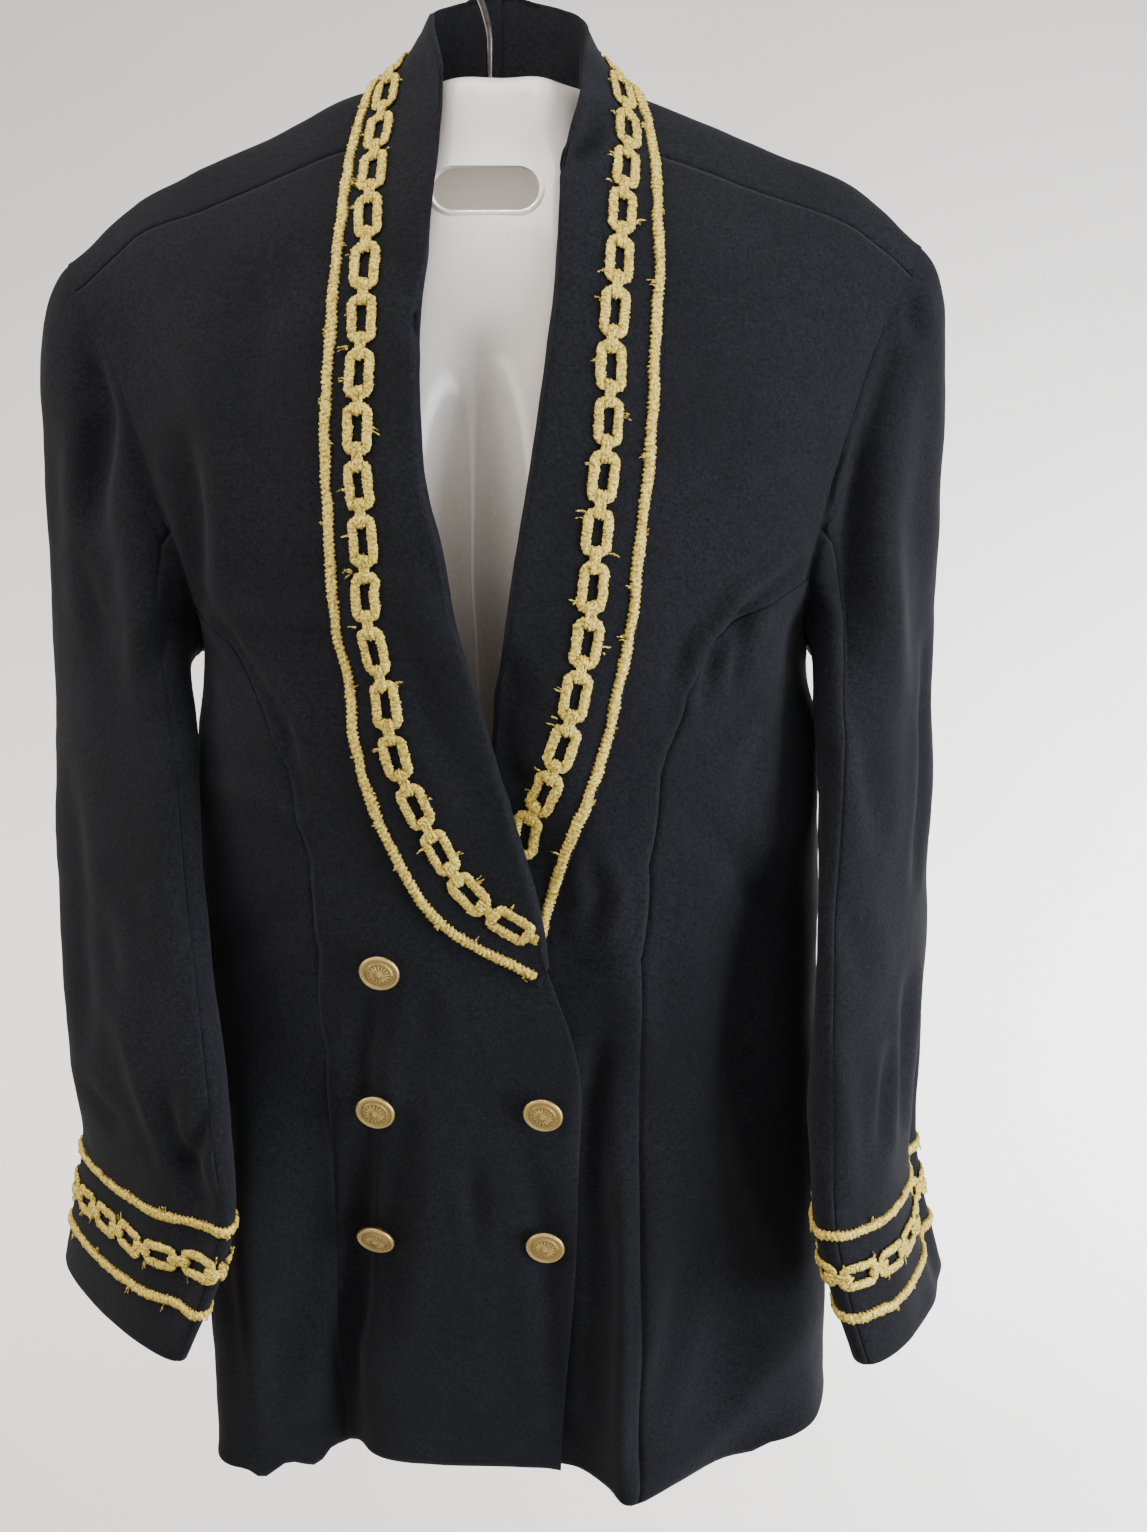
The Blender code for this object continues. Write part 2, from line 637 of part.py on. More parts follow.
def armhole_edge(sign, angle):
    """Points, sheet normals and outward directions along the armhole's edge."""
    v = curve_through(table_column(ARMHOLE, 0), table_column(ARMHOLE, 1), angle)
    u = np.full_like(v, float(sign))
    edge = cloth(u, v)
    normal = cloth_normal(u, v)
    along = unit(cloth(u, v + 0.02) - cloth(u, v - 0.02))
    away = np.cross(normal, along)
    inward = cloth(u - sign * 0.04, v) - edge
    away *= -np.sign(np.sum(away * inward, -1))[..., None]
    return edge, normal, away


def sleeve_fold_height(angle, z, table):
    total = np.zeros_like(z)
    for at, z_top, z_low, depth, width in table:
        t = (z_top - z) / (z_top - z_low)
        apart = (angle - at + 180) % 360 - 180
        ends = soft_step(t / 0.35) * soft_step((1 - t) / 0.2 + 0.25)
        total += depth * ends * np.exp(-((apart / width) ** 2))
    return total


def sleeve_grid(sign, rings, folds):
    """The whole sleeve as rows of angles: columns run round it, with both seams among them."""
    angles = np.array(TOP_ANGLES + UNDER_ANGLES[1:-1], float)
    around = np.where(angles > 250, angles - 360, angles)
    edge, edge_normal, away = armhole_edge(sign, around)
    first = ring_point(rings, sign, np.zeros_like(angles), angles)
    second = ring_point(rings, sign, np.full_like(angles, 0.3), angles)
    reach = np.linalg.norm(first - edge, axis=-1)[:, None]
    leave = np.array([sign * 0.94, 0.0, -0.34]) * (reach * 0.42 + 8 * MM)
    arrive = unit(second - first) * reach * 0.9
    rows = []
    for t in CAP_STEPS:
        rows.append(
            (2 * t**3 - 3 * t**2 + 1) * (edge + away * SEAM_GAP * MM)
            + (t**3 - 2 * t**2 + t) * leave
            + (3 * t**2 - 2 * t**3) * first
            + (t**3 - t**2) * arrive
        )
    for place in RING_STEPS:
        rows.append(ring_point(rings, sign, np.full_like(angles, place), angles))
    grid = np.array(rows)
    wave = sleeve_fold_height(angles[None, :], grid[..., 2] / MM, folds)
    wave[:2] = 0
    outside = grid - grid.mean(axis=1, keepdims=True)
    grid = grid + facing(grid_normals(grid, closed=True), outside) * wave[..., None] * MM
    normals = facing(grid_normals(grid, closed=True), outside)
    normals[0] = edge_normal
    outs = away[None] * np.interp(np.arange(len(grid)), (0, 1, 3), (1.0, 0.8, 0.0))[:, None, None]
    return grid, normals, outs


def build_sleeve(side, sign, rings, folds):
    grid, normals, outs = sleeve_grid(sign, rings, folds)
    inner = grid - normals * CLOTH * MM
    whole = wall_mesh("whole_sleeve", grid.swapaxes(0, 1), inner.swapaxes(0, 1), closed=True)
    body = [f"{piece}_{side}" for piece in ("front", "side_front", "back", "side_back")]
    settle(whole, outs.swapaxes(0, 1).reshape(-1, 3), body)
    settled = np.array([vertex.co for vertex in whole.vertices]).reshape(2, grid.shape[1], grid.shape[0], 3)
    grid, inner = settled.swapaxes(1, 2)
    bpy.data.meshes.remove(whole)
    count = grid.shape[1]
    split = len(TOP_ANGLES)
    halves = {
        f"sleeve_top_{side}": list(range(split)),
        f"sleeve_under_{side}": list(range(split - 1, count)) + [0],
    }
    for name, columns in halves.items():
        out = grid[:, columns].copy()
        into = inner[:, columns].copy()
        for face in (out, into):
            for edge, neighbour in ((0, 1), (-1, -2)):
                step = unit(face[:, neighbour] - face[:, edge])
                face[:, edge] += step * SEAM_GAP / 2 * MM
        finish_mesh(name, wall_mesh(name, out, into), "crepe")
    return grid, normals


# Collar
def collar_stations():
    """Every station as base u, v, outer u, v and roll offset, from the left end to the right end."""
    rows = []
    for table, edge, neck in (
        (COLLAR_LEFT, EDGE_LEFT, NECK_LEFT),
        (COLLAR_BACK, EDGE_LEFT, NECK_LEFT),
        (COLLAR_RIGHT[::-1], EDGE_RIGHT, NECK_RIGHT),
    ):
        for base, out_x, out, *roll in table:
            level = np.array(float(base) if base > 0 else level_of(base))
            base_u = seam(edge, level) if base < 0 else neck_edge(neck, level)
            out_level = np.array(float(out) if out > 0 else level_of(out))
            out_u = float(across_of(out_x, out_level))
            rows.append((float(base_u), float(level), out_u, float(out_level), *roll))
    return np.array(rows)


STATIONS = collar_stations()
CENTRE_BACK = len(COLLAR_LEFT)


def collar_face(s, a, lift=0.0):
    """Outer face of the collar's fall. s counts stations, a runs from the roll (0) to the edge (1)."""
    s, a = np.broadcast_arrays(np.asarray(s, float), np.asarray(a, float))
    row = curve_through(range(len(STATIONS)), STATIONS, s)
    base_u, base_v, out_u, out_v = np.moveaxis(row[..., :4], -1, 0)
    under = (s > CENTRE_BACK).astype(float)
    u = base_u + (out_u - base_u) * a
    v = base_v + (out_v - base_v) * a
    normal = cloth_normal(u, v, under)
    at_base = cloth_normal(base_u, base_v, under) * ROLL_RISE * MM + row[..., 4:] * MM
    fade = np.clip(1 - a, 0, None)[..., None]
    stands = np.linalg.norm(row[..., 4:], axis=-1, keepdims=True) / 40
    fade = fade ** (1.7 - 0.6 * np.clip(stands, 0, 1))
    return cloth(u, v, under) + normal * (SEAM_GAP + COLLAR + lift) * MM + at_base * fade


def collar_grid(stations):
    """The collar's outer path at each station: return, side of the edge, stand, roll and fall."""
    s = np.asarray(stations, float)
    row = curve_through(range(len(STATIONS)), STATIONS, s)
    base_u, base_v, out_u, out_v = row[:, :4].T
    under = (s > CENTRE_BACK).astype(float)
    width = np.linalg.norm(cloth(base_u, base_v, under) - cloth(out_u, out_v, under), axis=-1) / MM
    width = np.maximum(width, 12.0)

    def beside(distance, height):
        a = distance / width
        u = base_u + (out_u - base_u) * a
        v = base_v + (out_v - base_v) * a
        return cloth(u, v, under) + cloth_normal(u, v, under) * height * MM

    wrap = SEAM_GAP + COLLAR
    roll = collar_face(s, 0.0)
    side = beside(-wrap - 0.6, -CLOTH / 2)
    columns = [
        beside(np.minimum(ROLL_RETURN, width * 0.5), -(CLOTH + wrap)),
        beside(0.6, -(CLOTH + wrap)),
        side,
        side + (roll - side) * 0.55 + (beside(-wrap - 0.6, 0) - beside(0, 0)) * 0.45,
        roll,
    ]
    columns += [collar_face(s, a) for a in COLLAR_FALL_STEPS]
    return np.stack(columns, axis=1)


def station_list(first, last, spacing):
    """Station numbers about spacing apart along the collar's outer edge."""
    fine = np.linspace(first, last, 600)
    path = collar_face(fine, 0.5)
    length = np.concatenate([[0], np.cumsum(np.linalg.norm(np.diff(path, axis=0), axis=-1))])
    count = max(2, round(length[-1] / (spacing * MM)))
    return np.interp(np.linspace(0, length[-1], count + 1), length, fine)


def build_collar():
    left = station_list(0, CENTRE_BACK, 20)
    right = station_list(CENTRE_BACK, len(STATIONS) - 1, 20)
    s = np.concatenate([left, right[1:]])
    grid = collar_grid(s)
    outside = np.zeros_like(grid)
    outside[:, -1] = collar_face(s, 1.0, lift=1.0) - collar_face(s, 1.0)
    outs = facing(grid_normals(grid), outside)
    inner = grid - outs * COLLAR * MM
    for side, rows in (("left", slice(0, len(left))), ("right", slice(len(left) - 1, None))):
        out = grid[rows].copy()
        into = inner[rows].copy()
        edge, neighbour = (-1, -2) if side == "left" else (0, 1)
        for face in (out, into):
            face[edge] += unit(face[neighbour] - face[edge]) * SEAM_GAP / 2 * MM
        name = f"collar_{side}"
        mesh = wall_mesh(name, out, into)
        settle(mesh, outs[rows].reshape(-1, 3), [f"front_{side}", f"back_{side}"])
        finish_mesh(name, mesh, "crepe")


# Trims
def ground_height(seat, point, normal):
    """How far the seat's face lies above the point along its normal, in metres."""
    reach = 9 * MM
    hit = seat.ray_cast(Vector(point + normal * reach), Vector(-normal), 2.2 * reach)
    return 0.0 if hit[0] is None else reach - hit[3]


class Route:
    """A line on the cloth with its own directions: t along, c across and h above, in millimetres."""

    def __init__(self, points, normals, seat, closed):
        self.points = points
        self.normals = normals
        self.seat = seat
        self.closed = closed
        ring = np.vstack([points, points[:1]]) if closed else points
        steps = np.linalg.norm(np.diff(ring, axis=0), axis=-1)
        self.lengths = np.concatenate([[0], np.cumsum(steps)]) / MM
        self.length = self.lengths[-1]
        if closed:
            self.points = ring
            self.normals = np.vstack([normals, normals[:1]])

    def read(self, values, t):
        if self.closed:
            t = t % self.length
        return np.array([np.interp(t, self.lengths, values[:, axis]) for axis in range(3)])

    def spot(self, t, c):
        """The point and normal at a place, before it is seated."""
        near, far = (t - 2, t + 2) if self.closed else (max(t - 2, 0), min(t + 2, self.length))
        along = unit(self.read(self.points, far) - self.read(self.points, near))
        normal = unit(self.read(self.normals, t))
        across = unit(np.cross(normal, along))
        return self.read(self.points, t) + across * c * MM, normal

    def marks(self, spacing, start, stop):
        """Even places along the route. A closed route has one at each of the sleeve's two seams."""
        if not self.closed:
            length = self.length - start - stop
            count = max(3, round(length / spacing))
            return start + length * np.arange(count + 1) / count
        seam_at = self.lengths[len(TOP_ANGLES) - 1]
        half = round(self.length / spacing / 2)
        first = np.linspace(0, seam_at, half + 1)
        second = np.linspace(seam_at, self.length, half + 1)
        return np.concatenate([first, second[1:-1]])

    def place(self, t, c, h):
        """A point h above the seat."""
        point, normal = self.spot(t, c)
        return point + normal * (ground_height(self.seat, point, normal) + h * MM)


def collar_route(first, last, insets, seat):
    """A route on the collar's fall, inset from its outer edge as the table says."""
    s = np.linspace(first, last, 300)
    a = np.ones_like(s)
    edge = collar_face(s, 1.0)
    inset = curve_through(table_column(insets, 0), table_column(insets, 1), edge[:, 2] / MM)
    for _ in range(4):
        inside = collar_face(s, a)
        width = np.linalg.norm(inside - edge, axis=-1) / MM
        slope = np.linalg.norm(inside - collar_face(s, np.maximum(a - 0.05, 0)), axis=-1) / MM / 0.05
        a = np.clip(a - (inset - width) / np.maximum(slope, 4.0), 0.02, 1.0)
    points = collar_face(s, a)
    along = np.gradient(points, axis=0)
    down = collar_face(s, np.minimum(a + 0.03, 1.0)) - collar_face(s, a - 0.03)
    normals = unit(np.cross(along, down))
    outside = collar_face(s, a, lift=1.0) - points
    normals *= np.sign(np.sum(normals * outside, -1))[:, None]
    return Route(points, normals, seat, closed=False)


def cuff_route(grid, normals, z, seat):
    """A level route round the sleeve."""
    count = grid.shape[1]
    points, out = [], []
    for i in range(count):
        heights = grid[::-1, i, 2] / MM
        points.append([np.interp(z, heights, grid[::-1, i, axis]) for axis in range(3)])
        out.append([np.interp(z, heights, normals[::-1, i, axis]) for axis in range(3)])
    return Route(np.array(points), unit(np.array(out)), seat, closed=True)


def build_braid(name, route, steps, seats, start=0.0, stop=0.0):
    """A low strip with sloping shoulders that follows a route."""
    spots = [[(t, c * BRAID_WIDTH, h) for c, h in BRAID_SECTION] for t in route.marks(steps, start, stop)]
    outer = [[route.place(t, c, TRIM_GAP + BRAID_HEIGHT * h) for t, c, h in row] for row in spots]
    inner = [[route.place(t, c, TRIM_GAP) for t, c, _ in row] for row in spots]
    outs = [route.spot(t, c)[1] for row in spots for t, c, _ in row]
    mesh = wall_mesh(name, np.array(outer), np.array(inner), route.closed)
    settle(mesh, np.array(outs), seats)
    finish_mesh(name, mesh, "gold_yarn")


def build_chain(name, route, seats, start=0.0, stop=0.0):
    """Open links joined by short bands, in one raised strip."""
    marks = route.marks(CHAIN_PITCH, start, stop)
    centres = marks if route.closed else (marks[1:] + marks[:-1]) / 2
    count = len(centres)
    stretch = (marks[1] - marks[0]) / CHAIN_PITCH
    end, side = LINK_LENGTH / 2 * stretch, CHAIN_WIDTH / 2
    neck, shoulder = side - LINK_CORNER, end - LINK_CORNER
    outline = [(end, -neck), (end, neck), (shoulder, side), (-shoulder, side),
               (-end, neck), (-end, -neck), (-shoulder, -side), (shoulder, -side)]
    far, wide = HOLE_LENGTH / 2 * stretch, HOLE_WIDTH / 2
    hole = [(far, -wide), (far, wide), (-far, wide), (-far, -wide)]
    # Which corner of the hole each corner of the outline leads to
    leads = [0, 1, 1, 2, 2, 3, 3, 0]
    if route.closed:
        # Corners at mid-link let the chain fold round the sleeve's seams
        outline = [*outline[:3], (0, side), *outline[3:7], (0, -side), outline[7]]
        hole = [*hole[:2], (0, wide), *hole[2:], (0, -wide)]
        leads = [0, 1, 1, 2, 3, 3, 4, 4, 5, 0]
    rim, eye = len(outline), len(hole)
    spots = [(centre + t, c) for centre in centres for t, c in outline + hole]

    def build(work):
        low_side = [work.verts.new(route.place(t, c, TRIM_GAP)) for t, c in spots]
        high_side = [work.verts.new(route.place(t, c, TRIM_GAP + CHAIN_HEIGHT)) for t, c in spots]
        each = rim + eye
        links = [(low_side[i:i + each], high_side[i:i + each]) for i in range(0, len(spots), each)]
        for low, high in links:
            for i in range(rim):
                k = (i + 1) % rim
                for face in (low, high):
                    corners = (face[i], face[k], face[rim + leads[k]], face[rim + leads[i]])
                    work.faces.new(list(dict.fromkeys(corners)))
                if i not in (0, rim // 2):
                    work.faces.new((high[k], high[i], low[i], low[k]))
            for i in range(eye):
                k = (i + 1) % eye
                work.faces.new((high[rim + i], high[rim + k], low[rim + k], low[rim + i]))
        start, end = rim // 2, rim // 2 + 1
        joints = count if route.closed else count - 1
        for link in range(joints):
            low, high = links[link]
            next_low, next_high = links[(link + 1) % count]
            work.faces.new((high[0], high[1], next_high[start], next_high[end]))
            work.faces.new((low[1], low[0], next_low[end], next_low[start]))
            work.faces.new((high[1], low[1], next_low[start], next_high[start]))
            work.faces.new((low[0], high[0], next_high[end], next_low[end]))
        if not route.closed:
            low, high = links[0]
            work.faces.new((high[start], high[end], low[end], low[start]))
            low, high = links[-1]
            work.faces.new((high[0], high[1], low[1], low[0]))

    mesh = mesh_from(name, build)
    settle(mesh, np.array([route.spot(t, c)[1] for t, c in spots]), seats)
    finish_mesh(name, mesh, "gold_yarn", smooth=False)


def build_trims(left_sleeve, right_sleeve):
    last = len(STATIONS) - 1
    for side, first, end, braid_cuts, chain_cuts in (
        ("left", 0, CENTRE_BACK, (4.0, 0.2), (16.0, 0.2)),
        ("right", CENTRE_BACK, last, (0.2, 18.0), (0.2, 58.0)),
    ):
        seats = [f"collar_{side}"]
        seat = seat_of(seats)
        braid = collar_route(first, end, ((-600, BRAID_INSET), (0, BRAID_INSET)), seat)
        build_braid(f"collar_braid_{side}", braid, 18, seats, *braid_cuts)
        chain = collar_route(first, end, CHAIN_INSETS[side], seat)
        build_chain(f"collar_chain_{side}", chain, seats, *chain_cuts)
    for side, sleeve in (("left", left_sleeve), ("right", right_sleeve)):
        seats = [f"sleeve_top_{side}", f"sleeve_under_{side}"]
        seat = seat_of(seats)
        for name, z in (("cuff_upper_braid", CUFF_UPPER_BRAID), ("cuff_lower_braid", CUFF_LOWER_BRAID)):
            build_braid(f"{name}_{side}", cuff_route(*sleeve, z, seat), 14, seats)
        build_chain(f"cuff_chain_{side}", cuff_route(*sleeve, CUFF_CHAIN, seat), seats)


# Buttons
def build_buttons():
    seat = seat_of(["front_left"])
    for number, (x, z, droop, turn) in enumerate(BUTTONS, 1):
        level = level_of(z)
        u = across_of(x, np.array(level))
        normal = cloth_normal(u, np.array(level))
        centre = cloth(u, np.array(level))
        aim = Vector((
            -math.sin(math.radians(turn)),
            -math.cos(math.radians(droop)),
            -math.sin(math.radians(droop)),
        )).normalized()
        # The shank's foot leans, so its low side is what stands on the cloth
        lean = math.sqrt(max(0.0, 1 - aim.dot(Vector(normal)) ** 2))
        clear = (SEAM_GAP + SHANK_RADIUS * lean) * MM
        ground = centre + normal * (ground_height(seat, centre, normal) + clear)

        def build(work):
            profile = [work.verts.new((radius * MM, 0, height * MM)) for radius, height in BUTTON_PROFILE]
            edges = [work.edges.new(pair) for pair in zip(profile, profile[1:])]
            bmesh.ops.spin(work, geom=profile + edges, axis=(0, 0, 1), cent=(0, 0, 0), angle=math.tau,
                           steps=BUTTON_SIDES, use_merge=True)
            bmesh.ops.remove_doubles(work, verts=work.verts, dist=0.02 * MM)

        made = finish_mesh(f"button_{number}", mesh_from(f"button_{number}", build), "gold_metal")
        made.location = ground
        made.rotation_mode = "QUATERNION"
        made.rotation_quaternion = aim.to_track_quat("Z", "Y")


# Torso form and hook
def form_face(u, v, depth):
    """The form's outer face, or its inner face where depth is the wall's thickness."""
    inset = curve_through(table_column(FORM_INSET, 0), table_column(FORM_INSET, 1), v)
    point = plain_cloth(u, v)
    normal = difference_normal(plain_cloth, u, v)
    x = point[..., 0] / MM
    near_neck = soft_step((76 - np.abs(x - NECK_X)) / 12)
    near_neck = near_neck * soft_step((14.6 - v) / 0.6) * soft_step((v - 11.6) / 0.4)
    inset = inset + 5.2 * near_neck
    point = point - normal * (inset + depth)[..., None] * MM
    rows = NECK_ROWS
    neck = curve_through(table_column(rows, 0), [row[1:] for row in rows], v)
    raise_by = soft_step((NECK_FOOT - np.abs(x - NECK_X)) / (NECK_FOOT - NECK_HALF)) * neck[..., 2]
    raise_by = np.where((v > rows[0][0]) & (v < rows[-1][0]), raise_by, 0.0)
    narrow = 1 - 0.18 * raise_by * soft_step(np.abs(x - NECK_X) / 20)
    shell = depth * np.sign(neck[..., 1])
    top = np.stack([
        (NECK_X + (x - NECK_X) * narrow) * MM,
        (neck[..., 1] - shell) * MM,
        (neck[..., 0] - np.where(np.abs(v - RIDGE) < 1, depth, 0.0)) * MM,
    ], -1)
    return point + (top - point) * raise_by[..., None]


def side_cap():
    """Faces that close the form's side, as row numbers: each joins front rows to back rows as high."""
    ridge = FORM_ROWS.index(13.0)
    front, back = 0, len(FORM_ROWS) - 1
    faces = []
    while front < ridge or back > ridge:
        next_front = FORM_ROWS[front + 1] if front < ridge else 99.0
        next_back = BACK_HEM - FORM_ROWS[back - 1] if back > ridge else 99.0
        rise = next_front - next_back
        step_front = front + 1 if rise < 0.45 else front
        step_back = back - 1 if rise > -0.45 else back
        faces.append(list(dict.fromkeys((front, step_front, step_back, back))))
        front, back = step_front, step_back
    return [face for face in faces if len(face) > 2]


def build_form():
    u, v = np.meshgrid(np.array(FORM_COLUMNS), np.array(FORM_ROWS))
    outer = form_face(u, v, np.zeros_like(u))
    inner = form_face(u, v, np.full_like(u, FORM_WALL))
    inner[:, 0] += np.array([FORM_WALL * MM, 0, 0])
    inner[:, -1] -= np.array([FORM_WALL * MM, 0, 0])
    count = len(FORM_ROWS)

    def build(work):
        sheets = [[[work.verts.new(point) for point in row] for row in grid] for grid in (outer, inner)]
        for grid in sheets:
            for j in range(count - 1):
                for i in range(len(FORM_COLUMNS) - 1):
                    work.faces.new((grid[j][i], grid[j][i + 1], grid[j + 1][i + 1], grid[j + 1][i]))
            for i in (0, -1):
                for corners in side_cap():
                    work.faces.new([grid[j][i] for j in corners])
        out, into = sheets
        for j in (0, count - 1):
            for i in range(len(FORM_COLUMNS) - 1):
                work.faces.new((out[j][i], out[j][i + 1], into[j][i + 1], into[j][i]))
        for i in (0, -1):
            work.faces.new((out[0][i], out[-1][i], into[-1][i], into[0][i]))

    return finish_mesh("torso_form", mesh_from("torso_form", build), "white_plastic")


def cut_form(form):
    """Cuts the grip slot through the neck's front wall and the wire's hole through its top."""
    depth = 60 * MM
    bpy.ops.mesh.primitive_cube_add(size=1)
    slot = bpy.context.object
    slot.name = "slot_cutter"
    slot.scale = (SLOT_LENGTH * MM, depth, SLOT_HEIGHT * MM)
    slot.location = (SLOT_CENTRE[0] * MM, -60 * MM, SLOT_CENTRE[1] * MM)
    bpy.ops.object.transform_apply(location=False, rotation=False, scale=True)
    bevel = slot.modifiers.new("round ends", "BEVEL")
    bevel.width = SLOT_HEIGHT / 2 * MM * 0.98
    bevel.segments = 4
    bevel.limit_method = "WEIGHT"
    weights = slot.data.attributes.new("bevel_weight_edge", "FLOAT", "EDGE")
    for edge in slot.data.edges:
        start, end = (slot.data.vertices[i].co for i in edge.vertices)
        weights.data[edge.index].value = 1.0 if abs(start.y - end.y) > 1e-6 else 0.0
    radius = (WIRE_DIAMETER / 2 + SEAM_GAP) * MM
    bpy.ops.mesh.primitive_cylinder_add(vertices=12, radius=radius, depth=30 * MM)
    hole = bpy.context.object
    hole.name = "wire_hole_cutter"
    hole.location = (WIRE_X * MM, 0, FORM_TOP * MM)
    for cutter in (slot, hole):
        for home in list(cutter.users_collection):
            home.objects.unlink(cutter)
        bpy.data.collections["cutters"].objects.link(cutter)
        cutter.hide_render = True
        cutter.display_type = "WIRE"
        cut = form.modifiers.new(cutter.name, "BOOLEAN")
        cut.operation = "DIFFERENCE"
        cut.object = cutter


def build_hook():
    """The wire hook: straight shank, a lean to the left, the crown's arc and a turned-up tip."""
    curve = bpy.data.curves.new("hook_wire", "CURVE")
    curve.dimensions = "3D"
    curve.bevel_depth = WIRE_DIAMETER / 2 * MM
    curve.bevel_resolution = 2
    curve.use_fill_caps = True
    radius = CROWN_RADIUS + WIRE_DIAMETER / 2
    centre_z = WIRE_DIAMETER / 2 - radius
    path = [(WIRE_X, FORM_TOP - 10.0), (WIRE_X, FORM_TOP), *WIRE_BEND]
    for angle in np.linspace(HOOK_START, HOOK_END, 15):
        turn = math.radians(angle)
        path.append((radius * math.cos(turn), centre_z + radius * math.sin(turn)))
    line = curve.splines.new("POLY")
    line.points.add(len(path) - 1)
    for point, (x, z) in zip(line.points, path):
        point.co = (x * MM, 0, z * MM, 1)
    hook = bpy.data.objects.new("hook_wire", curve)
    bpy.data.collections["blazer"].objects.link(hook)
    curve.materials.append(bpy.data.materials["steel"])


def build_nut():
    """The nut that holds the wire under the form's top."""
    outer, inner = NUT_RADIUS * MM, (WIRE_DIAMETER / 2 + SEAM_GAP) * MM
    top = (FORM_TOP - FORM_WALL - SEAM_GAP - 0.6) * MM

    def build(work):
        profile = ((inner, top), (outer, top), (outer, top - NUT_HEIGHT * MM), (inner, top - NUT_HEIGHT * MM))
        verts = [work.verts.new((radius, 0, z)) for radius, z in profile]
        edges = [work.edges.new((verts[i], verts[(i + 1) % 4])) for i in range(4)]
        bmesh.ops.spin(work, geom=verts + edges, axis=(0, 0, 1), cent=(0, 0, 0), angle=math.tau, steps=6,
                       use_merge=True)
        bmesh.ops.remove_doubles(work, verts=work.verts, dist=0.02 * MM)

    nut = finish_mesh("hook_nut", mesh_from("hook_nut", build), "steel", smooth=False)
    nut.location.x = WIRE_X * MM


def prepare():
    """Clears the scene and makes the collections and materials."""
    for old in list(bpy.data.objects):
        bpy.data.objects.remove(old, do_unlink=True)
    for name in ("blazer", "cutters"):
        made = bpy.data.collections.new(name)
        bpy.context.scene.collection.children.link(made)
    for name, colour in COLOURS.items():
        material = bpy.data.materials.new(name)
        material.use_nodes = True
        shader = material.node_tree.nodes["Principled BSDF"]
        shader.inputs["Base Color"].default_value = colour
        shader.inputs["Roughness"].default_value = FINISH[name][0]
        shader.inputs["Metallic"].default_value = FINISH[name][1]


def main():
    prepare()
    build_fronts()
    build_backs()
    left_sleeve = build_sleeve("left", -1, RINGS_LEFT, SLEEVE_FOLDS_LEFT)
    right_sleeve = build_sleeve("right", 1, RINGS_RIGHT, SLEEVE_FOLDS_RIGHT)
    build_collar()
    build_trims(left_sleeve, right_sleeve)
    build_buttons()
    cut_form(build_form())
    build_hook()
    build_nut()


main()
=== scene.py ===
"""Looks of the double-breasted blazer with gold chain trim, hung on its white torso form.

Every cloth piece starts from its CAD node's outer wall: the walls that are sewn together are joined,
refined, creased as one cloth, and parted again along their seams. The trims, buttons, form and hook
are built new over the places of their nodes. Left and right are the viewer's. Tables are in
millimetres and degrees, and everything that is built is in metres.
"""

import math

import bmesh
import bpy
import numpy as np
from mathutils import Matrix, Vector, noise
from mathutils.bvhtree import BVHTree
from mathutils.kdtree import KDTree


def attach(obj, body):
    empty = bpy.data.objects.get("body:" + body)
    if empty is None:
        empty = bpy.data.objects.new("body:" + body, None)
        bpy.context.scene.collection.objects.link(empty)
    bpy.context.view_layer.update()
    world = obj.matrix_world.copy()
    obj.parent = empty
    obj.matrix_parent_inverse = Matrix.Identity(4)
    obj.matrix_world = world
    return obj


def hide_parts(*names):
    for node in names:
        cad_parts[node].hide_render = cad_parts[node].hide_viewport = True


MM = 0.001
SIDES = ("left", "right")

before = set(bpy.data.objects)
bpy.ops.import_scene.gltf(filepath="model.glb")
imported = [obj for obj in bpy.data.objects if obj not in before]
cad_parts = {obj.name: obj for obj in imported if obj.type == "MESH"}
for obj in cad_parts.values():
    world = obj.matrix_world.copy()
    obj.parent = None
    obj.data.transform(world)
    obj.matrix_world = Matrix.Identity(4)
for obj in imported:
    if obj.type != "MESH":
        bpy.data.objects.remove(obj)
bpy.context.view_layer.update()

# Cloth
BODY = [f"{part}_{side}" for side in SIDES for part in ("front", "side_front", "back", "side_back")]
CLOTH = 1.8
COLLAR = 1.6
# Middle lines that the cloth lies round: the body's x and y, and a sleeve's x with its (z, y)
BODY_CORE = (3, -15)
SLEEVE_CORE_X = 206
SLEEVE_CORE = ((-740, -75), (-664, -73), (-594, -62), (-495, -36), (-405, -9), (-200, 5))
# Walls that come as near as SEWN are sewn together, and corners as near as WELD are one
SEWN = 0.6
WELD = 0.02
SEAM_SINK = 0.55
REFINE = 3
# Rounds of smoothing. The underarm, by its levels, and the shoulder's tip, by x and z, have more
BODY_ROUNDS = 26
SLEEVE_ROUNDS = 10
TIP_ROUNDS = 14
UNDERARM = (-410, -315)
SHOULDER_TIP = (190, -200)
# Unevenness of the cloth: heights of its wide and narrow humps, and their spacings
CLOTH_HUMPS = (0.8, 0.22)
COLLAR_HUMPS = (0.5, 0.15)
HUMP_SPACINGS = (46, 13)
# The armholes' edges are the free ones beyond this x and above this z
ARMHOLE = (140, -400)
# Distances from an armhole's edge: the cloth creases in full from the first on and hangs aside in full
# from the second on, and up to the third it is drawn to the body
CREASE_FADE = 14
ASIDE_FADE = 70
DRAWN_FADE = 30
SLEEVE_CLEARANCE = 0.4

CREASE_STRENGTH = 2.6
